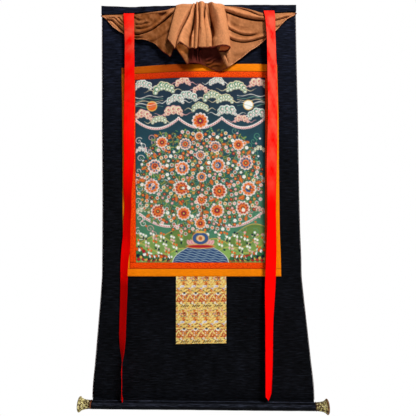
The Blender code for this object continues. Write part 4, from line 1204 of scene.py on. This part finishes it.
def brass_finish(colours):
    """Old embossed brass: bright where the relief stands up, brown and dull in its hollows."""
    brass = Finish("Embossed brass", {"Specular IOR Level": 0.15})
    stain = brass.patches((170, 170, 170), 0.44, 0.56, 2)
    height = brass.times(brass.mark("relief"), 0.9, -0.75)
    ramp = brass.clamped(stain, 0.85, height)
    bright = np.array(colours.brass[:3])
    brass.colour = brass.mix(ramp, colours.brass_hollow, bright)
    # Painted highlights: pale patches on the raised brass
    pale = brass.times(brass.patches((190, 150, 150), 0.55, 0.65, 1), ramp)
    brass.cover(pale, bright * (1.3, 1.35, 2.2))
    patchy = brass.times(stain, 0.7, 0.12)
    brass.cover(brass.times(brass.mark("copper"), patchy), (0.18, 0.04, 0.011))
    brass.set({"Metallic": brass.times(ramp, 0.45, 0.1)})
    brass.set({"Roughness": brass.times(ramp, -0.25, 0.68)})
    brass.relief(stain, 0.12, 0.6)
    return brass.done()


def plain_finish(name, colour, roughness):
    """A matt studio surface with the faintest unevenness."""
    plain = Finish(name, {"Roughness": roughness})
    base = np.array(colour[:3])
    plain.colour = plain.mix(plain.patches((3, 3, 3), 0.3, 0.7), base * 0.985, base)
    return plain.done()


# ---------------------------------------------------------------- settings


def colour_setting(name, description, *default):
    return bpy.props.FloatVectorProperty(
        name=name, description=description, default=default, size=3, min=0.0, max=1.0, subtype="COLOR"
    )


def size_setting(name, description, default, **kind):
    return bpy.props.FloatProperty(name=name, description=description, default=default, **kind)


class ScrollColours(bpy.types.PropertyGroup):
    """The colours of the scroll's cloths and fittings."""

    ground: colour_setting("Ground cloth", "Black cotton of the mount", 0.0022, 0.0025, 0.0037)
    piping: colour_setting("Piping", "Maroon cord along both sides", 0.035, 0.004, 0.005)
    inner_border: colour_setting("Inner border", "Orange-red silk next to the picture", 0.86, 0.062, 0.001)
    outer_border: colour_setting("Outer border", "Orange-yellow silk round it", 0.80, 0.20, 0.001)
    veil: colour_setting("Veil", "Brown silk of the veil", 0.52, 0.205, 0.08)
    # Painted shade: the next colour darkens the veil's swag, and the one after it the hollow under the bunch
    veil_painted_shade: colour_setting("Unfaded veil", "Where the veil has kept its dye", 0.19, 0.058, 0.014)
    veil_under_shade: colour_setting("Veil inside", "Shaded inner folds of the veil", 0.1, 0.018, 0.012)
    hem: colour_setting("Veil hem", "Maroon stitching along the veil's hem", 0.085, 0.010, 0.006)
    ribbon: colour_setting("Ribbons", "Red satin of both ribbons", 0.93, 0.001, 0.0005)
    # Painted highlight: a paler coral that stands in for the ribbons' satin sheen
    ribbon_painted_sheen: colour_setting("Faded ribbon", "Where light has bleached the ribbons", 0.93, 0.072, 0.038)
    wood: colour_setting("Roller", "Stained wood of the roller", 0.22, 0.06, 0.035)
    brass: colour_setting("Brass", "Raised parts of the knobs", 0.60, 0.52, 0.20)
    brass_hollow: colour_setting("Brass hollows", "Tarnish between the raised parts", 0.035, 0.012, 0.004)
    floor: colour_setting("Floor", "Studio floor", 0.9, 0.9, 0.9)


class ScrollSizes(bpy.types.PropertyGroup):
    """The sizes that shape the scroll's cloths, relief and light."""

    fold_depth: size_setting("Veil folds", "How strongly the veil is creased", 1.0, min=0.0, max=1.3)
    veil_thickness: size_setting("Veil thickness", "Thickness of the silk", 0.0008, min=0.0004, unit="LENGTH")
    hem_width: size_setting("Hem width", "Width of the veil's hem", 0.0045, min=0.001, unit="LENGTH")
    ribbon_width: size_setting("Ribbon width", "Width of both ribbons", RIBBON_WIDTH * MM, unit="LENGTH")
    relief_depth: size_setting("Knob relief", "Height of the knobs' relief", 0.0012, min=0.0, unit="LENGTH")
    key_light: size_setting("Key light", "Power of the light at the upper right", 420.0, unit="POWER")
    fill_light: size_setting("Fill light", "Power of the wide light at the left", 4.0, unit="POWER")
    back_light: size_setting("Back light", "Power of the wide light behind the scroll", 60.0, unit="POWER")
    surround: size_setting("Surround", "Light from the white surround", 0.1, min=0.0, max=1.0)


class ScrollOperator:
    """What every operator here shares: it can be undone, and it reads the scene's settings."""

    bl_options = {"REGISTER", "UNDO"}

    @staticmethod
    def settings(context):
        return context.scene.scroll_sizes, context.scene.scroll_colours


# ---------------------------------------------------------------- pieces


def ground_cloth(finish, columns=96, rows=230, sleeve_rows=40):
    """One length: down the wall, then a circle of 300 degrees round the roller, and a flap that is
    sewn to the cloth above. A row of stitches pulls the flap in at every few millimetres."""
    inset = PIPING + SEAM_PLAY
    across = np.linspace(0, 1, columns + 1)
    drop = np.linspace(0, ROLLER_DROP, rows + 1)[:, None]
    left, right = ground_side(drop, LEFT_SIDE) + inset, ground_side(drop, RIGHT_SIDE) - inset
    x = left + (right - left) * across
    drop = drop + (roller_drop(x) - ROLLER_DROP) * ease((drop / ROLLER_DROP - 0.9) * 10)
    foot_x = x[-1]
    turn = np.linspace(0, SLEEVE_TURN, sleeve_rows + 1)[1:, None]
    slack = 0.35 * ripple(foot_x, 60 * turn, 70, 1.1)
    radius = SLEEVE_RADIUS + slack + (1.7 - 0.7 * across) * np.clip(np.sin(turn), 0, 1) ** 2
    flap = np.linspace(0, 1, 6)[:, None]
    flap_out = ROLLER_OUT - SLEEVE_RADIUS + GROUND_THICK + SEAM_PLAY + 1.2 - 0.8 * flap
    flap_out = flap_out - 0.35 * np.sin(np.pi * flap) * (1 + np.sin(foot_x / 1.5))
    flap_drop = roller_drop(foot_x) - SLEEVE_RADIUS - 1 - (SLEEVE_FLAP - 1) * flap
    sleeve = stacked(foot_x, roller_drop(foot_x) + radius * np.sin(turn), ROLLER_OUT - radius * np.cos(turn))
    end = stacked(foot_x, flap_drop, flap_out)
    points = np.concatenate([stacked(x, drop, ground_out(x, drop)), sleeve, end])
    flap_run = FLAP_START + SLEEVE_FLAP * flap[:, 0]
    run = np.concatenate([drop[:, 0], ROLLER_DROP + SLEEVE_RADIUS * turn[:, 0], flap_run])
    uv = stacked(points[..., 0], run[:, None])
    name, node = "ground_cloth_hung", "ground_cloth"
    piece = make_piece(name, node, "ground_cloth", finish, points, uv, thickness=GROUND_THICK)


def head_band(finish, columns=170, corner=5):
    """The cloth-covered bar: a rounded box section carried along x between an uneven top and foot. Its
    front is crowned, and the cloth is pulled a little tighter at its stitches."""
    x = np.linspace(BAND_STOPS[0], BAND_STOPS[-1], columns + 1)[:, None]
    top, foot = soft(x, BAND_STOPS, BAND_TOP), soft(x, BAND_STOPS, BAND_FOOT)
    back, radius = GROUND_THICK + SEAM_PLAY, BAND_CORNER
    quarter = np.linspace(0, np.pi / 2, corner + 1)
    # Section from the lower back corner round the front: out, and how far it lies from the foot or the top
    front = BAND_FRONT - radius
    outs = [[back], front + radius * np.sin(quarter), front + radius * np.cos(quarter), [back]]
    insets = [[0], radius * (1 - np.cos(quarter)), radius * (1 - np.sin(quarter)), [0]]
    outs, insets = np.concatenate(outs), np.concatenate(insets)
    at_top = np.repeat([0.0, 1.0], corner + 2)
    lumps = 0.5 * ripple(x, outs * 2, 64, 2.0)
    drop = np.where(at_top > 0, top + insets, foot - insets) + lumps * (outs > back)
    out = outs - 0.3 * ripple(x, at_top * 40, 38, 0.7) * (outs > front)
    points, uv = stacked(x, drop, out), stacked(x, drop + out)
    make_piece("head_band_wrapped", "head_band", "ground_cloth", finish, points, uv, closed=True)


def piping(side, sides, sign, finish, rows=330, around=10):
    """A round cord along one side of the ground cloth."""
    foot = roller_drop(sides[-1]) - SLEEVE_RADIUS - 2.5 * PIPING
    drop = np.linspace(0, foot, rows + 1)[:, None]
    edge = ground_side(drop, sides) - sign * PIPING / 2
    turn = np.linspace(0, -2 * np.pi, around, endpoint=False)
    radius = PIPING / 2 * (1 + 0.12 * np.sin(drop * 2 - turn * 2))
    points = stacked(edge + radius * np.cos(turn), drop, ground_out(edge, drop) + radius * np.sin(turn))
    make_piece(f"piping_{side}_cord", f"edge_piping_{side}", "piping", finish, points, closed=True)


class SCROLL_OT_ground(ScrollOperator, bpy.types.Operator):
    """Makes the ground cloth with its roller sleeve, the head band and the two pipings"""

    bl_idname = "scroll.ground"
    bl_label = "Ground cloth"

    def execute(self, context):
        _, colours = self.settings(context)
        finish = ground_finish(colours)
        ground_cloth(finish)
        head_band(finish)
        for side, sides, sign in (("left", LEFT_SIDE, -1), ("right", RIGHT_SIDE, 1)):
            piping(side, sides, sign, piping_finish(colours))
        return {"FINISHED"}


class SCROLL_OT_picture(ScrollOperator, bpy.types.Operator):
    """Makes the painted picture"""

    bl_idname = "scroll.picture"
    bl_label = "Picture"

    def execute(self, context):
        finish = cloth_finish("Painted cloth", (0.2, 0.25, 0.2), "painting").done()
        name, node, edges = "picture_painted", "picture_panel", panel_edges()[0]
        sewn_panel(name, node, "picture", finish, edges, cell=1.75, pucker=0.1, paint=paint_picture)
        return {"FINISHED"}


class SCROLL_OT_borders(ScrollOperator, bpy.types.Operator):
    """Makes the four strips of the inner border and the four of the outer one"""

    bl_idname = "scroll.borders"
    bl_label = "Borders"

    def execute(self, context):
        _, colours = self.settings(context)
        picture, inner, outer = panel_edges()
        gap = SEAM_PLAY
        for name, inside, outside, far, finish in (
            ("inner_border", picture, inner, gap, border_finish("Inner silk", colours.inner_border, True)),
            ("outer_border", inner, outer, 0.0, border_finish("Outer silk", colours.outer_border, False)),
        ):
            in_left, in_right, in_top, in_bottom = inside
            left, right, top, bottom = (moved(edge, by) for edge, by in zip(outside, (far, -far, far, -far)))
            strips = {
                "top": (left, right, top, moved(in_top, -gap)),
                "bottom": (left, right, moved(in_bottom, gap), bottom),
                "left": (left, moved(in_left, -gap), in_top, in_bottom),
                "right": (moved(in_right, gap), right, in_top, in_bottom),
            }
            for place, edges in strips.items():
                node = f"{name}_{place}"
                sewn_panel(f"{node}_silk", node, name, finish, edges, cell=1.9, pucker=0.28, place=place)
        return {"FINISHED"}


class SCROLL_OT_door(ScrollOperator, bpy.types.Operator):
    """Makes the brocade door under the picture"""

    bl_idname = "scroll.door"
    bl_label = "Brocade door"

    def execute(self, context):
        top, foot = level(OUTER_BOTTOM + SEAM_PLAY), curve((DOOR_LEFT, DOOR_RIGHT), DOOR_FOOT)
        edges, flat = (level(DOOR_LEFT), level(DOOR_RIGHT), top, foot), (DOOR_WIDTH, DOOR_HEIGHT)
        finish = cloth_finish("Gold brocade", (0.8, 0.55, 0.2), "painting").done()
        name, node, slot = "door_brocade", "door_panel", "door_brocade"
        sewn_panel(name, node, slot, finish, edges, cell=0.75, pucker=0.2, paint=paint_door)
        return {"FINISHED"}


class SCROLL_OT_veil(ScrollOperator, bpy.types.Operator):
    """Makes the gathered silk veil"""

    bl_idname = "scroll.veil"
    bl_label = "Veil"

    def execute(self, context):
        sizes, colours = self.settings(context)
        points, faces, uv, distance, hollow, on_swag = veil_shape(sizes.fold_depth)
        x, drop, out = points.T
        bound = np.maximum(1 - on_swag, ease((drop - 140) / 12) * ease((112 - x) / 12))
        # Painted shade on the swag but not the bunch: patchy, strongest on the left wing and under the
        # bunch's left
        left = 0.8 * between(x, -290, 30, -60, 25)
        right = 0.25 * between(x, 108, 12, 236, 20) * ease((150 - drop) / 25)
        painted_shade = (0.3 + left + right + 0.15 * ripple(x, drop, 60, 1.2)) * ease((drop - 8) / 30)
        painted_shade = on_swag * (painted_shade + 0.7 * ease((drop - 135) / 15) * ease((-30 - x) / 10))
        stitched = STITCHED_WIDTH + 1.6 * ease((x - 30) / 20) * (1 - on_swag)
        hem = np.clip((stitched - distance) / 1.2, 0, 1) * bound
        # Painted light: the turned-back cuff at the bunch's left is brightened, as if light came through its
        # single layer
        cuff_painted_light = on_swag * between(x, -80, 6, -34, 5) * between(drop, 138, 6, 176, 16)
        marks = {
            "painted_shade": np.clip(painted_shade, 0, 1),
            "hem": np.maximum(hem, ease((np.abs(x) - 335) / 3)),
            # Painted highlight along the swag's rolled hem
            "rolled": np.clip((ROLLED_WIDTH - distance) / 1.4, 0, 1) * (1 - bound) * on_swag,
            "seam": hump((distance - sizes.hem_width / MM) / 1.1),
            # Painted shade in the creases and painted highlights on the ridges, none on the cuff
            "hollow": np.clip(hollow / 9 * (1 - cuff_painted_light), -1, 1),
            # Painted shade in the hollow under the bunch
            "under": on_swag * between(x, -38, 5, 82 + (drop - 175) / 2, 5) * ease((drop - 100) / 20),
            # Painted light inside the bunch's open loop
            "loop": (1 - on_swag) * ease((34 - out) / 3) * ease((x - 60) / 5) * ease((drop - 90) / 30),
            "cuff_painted_light": cuff_painted_light,
            # Painted light towards the lower right of the hollow under the bunch
            "painted_light": ease((drop - 180) / 34) * ease((x - 4) / 24),
        }
        thickness = sizes.veil_thickness / MM
        finish = veil_finish(colours)
        name, node = "veil_silk", "veil"
        piece = make_piece(name, node, "veil_silk", finish, points, uv, faces, thickness=thickness, **marks)
        return {"FINISHED"}


def ribbon(side, table, seed, fade, width, finish, rows=420, columns=22):
    """A ribbon that hangs by its head and slowly turns, with a pointed end. Its face is a straight line
    at each height, to which a slight cup and a few slanting creases are added."""
    drops, middles, outs, turns = np.array(table, float).T
    across = np.linspace(-1, 1, columns + 1)[None, :]
    down = np.linspace(0, 1, rows + 1)[:, None]
    drop = drops[0] + (drops[-1] - RIBBON_POINT * np.abs(across) - drops[0]) * down
    turn = np.radians(soft(drop, drops, turns))
    half = width / 2 * across
    lift = 0.9 * (across**2 - 0.4) * np.sin(drop / 210 + seed) + 0.35 * ripple(half * 3, drop, 120, seed)
    for place, lean in ((88, 0.5), (150, -0.4), (330, 0.35), (560, -0.5), (930, 0.45), (1120, -0.3)):
        lift = lift + 0.8 * hump((drop - place - 30 * seed - lean * half) / 5) * np.sign(lean)
    lift = lift * ease((drop - drops[0]) / 30)
    x = soft(drop, drops, middles) + half * np.cos(turn) + lift * np.sin(turn)
    out = soft(drop, drops, outs) + half * np.sin(turn) - lift * np.cos(turn)
    patchy = 0.8 + 0.9 * ripple(half * 1.3, drop, 74, seed) + 0.3 * ripple(half, drop, 15, seed)
    marks = {
        "edge": np.clip((np.abs(across) - 0.93) / 0.05, 0, 1) * 0.7 + 0 * drop,
        # Painted highlight for the satin's sheen, as strong as fade gives at each drop
        "painted_sheen": np.clip(np.interp(drop, SHEEN_DROPS, fade) * patchy, 0, 1),
        # Painted shade on the left ribbon's lower part, which turns away from the light
        "painted_shade": (side == "left") * between(drop, 930, 50, 1270, 70),
    }
    points, uv = stacked(x, drop, out), stacked(half + 60 * seed, drop)
    node = f"ribbon_{side}"
    piece = make_piece(f"{node}_satin", node, "ribbon", finish, points, uv, thickness=RIBBON_THICK, **marks)


class SCROLL_OT_ribbons(ScrollOperator, bpy.types.Operator):
    """Makes the two satin ribbons"""

    bl_idname = "scroll.ribbons"
    bl_label = "Ribbons"

    def execute(self, context):
        sizes, colours = self.settings(context)
        finish, width = ribbon_finish(colours), sizes.ribbon_width / MM
        ribbon("left", LEFT_RIBBON, 0.4, LEFT_SHEEN, width, finish)
        ribbon("right", RIGHT_RIBBON, 2.2, RIGHT_SHEEN, width, finish)
        return {"FINISHED"}


def knob(side, end, outward, depth, finish, around=180, rings=120):
    """A turned knob: its profile is carried round the roller's axis, and a relief is raised on it. The
    relief is a scroll, sin of eight turns plus a wave along the neck, between two beaded rings, and on
    the flare a ring of leaves."""
    along_stops, radii = np.array(KNOB_PROFILE, float).T
    run = np.concatenate([[0], np.cumsum(np.hypot(np.diff(along_stops), np.diff(radii)))])
    share = np.linspace(0, 1, rings) ** 0.92 * run[-1]
    along = np.concatenate([[SOCKET_DEPTH] * 2, [0.0], soft(share, run, along_stops)])[:, None]
    radius = np.concatenate([[1.0], [SOCKET_RADIUS] * 2, soft(share, run, radii)])[:, None]
    outside = np.repeat([0.0, 1.0], (3, rings))[:, None]
    turn = np.linspace(0, -2 * np.pi, around, endpoint=False)
    neck = between(along, 6, 2, 27, 3)
    flare = between(along, 25, 3, 44, 1.5)
    beads = hump((along - 4.5) / 1.2) + hump((along - 26) / 1.1)
    scroll = np.sin(8 * turn + 1.9 * np.sin(along / 2.3)) * np.cos(along / 1.6 + 1.5 * np.cos(8 * turn))
    leaves = np.abs(np.sin(5 * turn + 0.4 * along / 10)) ** 0.4
    veins = 0.25 * np.sin(15 * turn + along)
    height = neck * (0.42 + 0.58 * np.tanh(2.6 * scroll)) + flare * np.clip(leaves + veins, 0, 1)
    height = height + beads * (0.6 + 0.4 * np.sin(24 * turn))
    # The end is chased with rings, and with petals between them
    face = ease((along - 44.2) / 0.5)
    chased = 0.5 + 0.5 * np.cos(radius * 1.05) + between(radius, 9, 2, 19, 2) * np.sin(14 * turn)
    height = height + face * np.clip(chased, 0, 1)
    radius = radius + depth * (height - 0.4) * outside * between(along, 0, 2, 44, 3)
    along = along + 0.6 * depth * face * (height - 0.5)
    place = end - ROLLER_MIDDLE + outward * (KNOB_GAP + along)
    ring = radius * np.sin(turn)
    x = ROLLER_MIDDLE + place * math.cos(ROLLER_TILT) - ring * math.sin(ROLLER_TILT)
    drop = ROLLER_DROP + place * math.sin(ROLLER_TILT) + ring * math.cos(ROLLER_TILT)
    # Copper shows through at the left knob's neck and on the right one's rim
    if side == "left":
        copper, polished = ease((5.5 - along) / 3), 0.2 * flare
    else:
        copper, polished = between(along, 36, 3, 45, 0.8), 0.0
    marks = {"relief": np.clip(height, 0, 1) + polished, "copper": copper + 0 * turn}
    points = stacked(x, drop, ROLLER_OUT + radius * np.cos(turn) * outward)
    make_piece(f"knob_{side}_brass", f"knob_{side}", "knob_brass", finish, points, closed=True, **marks)


class SCROLL_OT_roller(ScrollOperator, bpy.types.Operator):
    """Finishes the roller and makes the two embossed knobs"""

    bl_idname = "scroll.roller"
    bl_label = "Roller and knobs"

    def execute(self, context):
        sizes, colours = self.settings(context)
        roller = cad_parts["roller"]
        roller.data.materials.clear()
        roller.data.materials.append(wood_finish(colours))
        finish, depth = brass_finish(colours), sizes.relief_depth / MM
        knob("left", ROLLER_LEFT, -1, depth, finish)
        knob("right", ROLLER_RIGHT, 1, depth, finish)
        return {"FINISHED"}


class SCROLL_OT_stage(ScrollOperator, bpy.types.Operator):
    """Makes the floor, the soft lights, the white surround and the camera"""

    bl_idname = "scroll.stage"
    bl_label = "Stage"

    def execute(self, context):
        sizes, colours = self.settings(context)
        scene = context.scene
        low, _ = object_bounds()
        x, back, z = FLOOR_HALF, FLOOR_BACK, low[2] - FLOOR_BELOW
        mesh = bpy.data.meshes.new("floor")
        mesh.from_pydata([(-x, -x, z), (x, -x, z), (x, back, z), (-x, back, z)], [], [(0, 1, 2, 3)])
        mesh.materials.append(plain_finish("Studio floor", colours.floor, 0.8))
        floor = bpy.data.objects.new("floor", mesh)
        scene.collection.objects.link(floor)
        floor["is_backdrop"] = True

        camera = bpy.data.objects.new("Camera", bpy.data.cameras.new("Camera"))
        scene.collection.objects.link(camera)
        camera.location = CAMERA_PLACE
        camera.rotation_euler = (math.pi / 2, 0, 0)
        camera.data.sensor_width = SENSOR_WIDTH
        camera.data.lens = SENSOR_WIDTH * -CAMERA_PLACE[1] / (PHOTO_PIXELS * PIXEL_SIZE)
        scene.camera = camera

        # Columns: name, place, size, power
        for name, place, size, power in (
            ("Key", (2.3, -3.5, 3.2), 1.5, sizes.key_light),
            ("Fill", (-1.6, -2.3, -0.4), 1.8, sizes.fill_light),
            ("Back", (0.8, 3.0, 0.4), 2.0, sizes.back_light),
        ):
            light = bpy.data.lights.new(name, "AREA")
            light.size, light.energy = size, power
            lamp = bpy.data.objects.new(name, light)
            scene.collection.objects.link(lamp)
            lamp.location = place
            lamp.rotation_euler = (Vector(LIT_POINT) - Vector(place)).to_track_quat("-Z", "Y").to_euler()

        world = bpy.data.worlds.new("Studio surround")
        world.use_nodes = True
        tree = world.node_tree
        seen = add_node(tree, "LightPath").outputs["Is Camera Ray"]
        strength = add_node(tree, "Math", {0: seen, 1: sizes.surround}, operation="MAXIMUM").outputs[0]
        fill(tree, tree.nodes["Background"].inputs, {"Color": (1, 1, 1), "Strength": strength})
        scene.world = world
        scene.view_settings.view_transform = "Standard"
        return {"FINISHED"}


class SCROLL_PT_panel(bpy.types.Panel):
    """Lists the steps and their settings"""

    bl_label = "Hanging scroll"
    bl_idname = "SCROLL_PT_panel"
    bl_space_type = "VIEW_3D"
    bl_region_type = "UI"
    bl_category = "Scroll"

    def draw(self, context):
        for settings in (context.scene.scroll_sizes, context.scene.scroll_colours):
            box = self.layout.box()
            for name in settings.__annotations__:
                box.prop(settings, name)
        for step in STEPS:
            self.layout.operator(step.bl_idname)


STEPS = (
    SCROLL_OT_ground,
    SCROLL_OT_picture,
    SCROLL_OT_borders,
    SCROLL_OT_door,
    SCROLL_OT_veil,
    SCROLL_OT_ribbons,
    SCROLL_OT_roller,
    SCROLL_OT_stage,
)
CLASSES = (ScrollColours, ScrollSizes, *STEPS, SCROLL_PT_panel)


def register():
    for each in CLASSES:
        bpy.utils.register_class(each)
    bpy.types.Scene.scroll_colours = bpy.props.PointerProperty(type=ScrollColours)
    bpy.types.Scene.scroll_sizes = bpy.props.PointerProperty(type=ScrollSizes)


def unregister():
    del bpy.types.Scene.scroll_sizes
    del bpy.types.Scene.scroll_colours
    for each in reversed(CLASSES):
        bpy.utils.unregister_class(each)


def main():
    register()
    for step in STEPS:
        group, name = step.bl_idname.split(".")
        getattr(getattr(bpy.ops, group), name)()


if __name__ == "__main__":
    main()
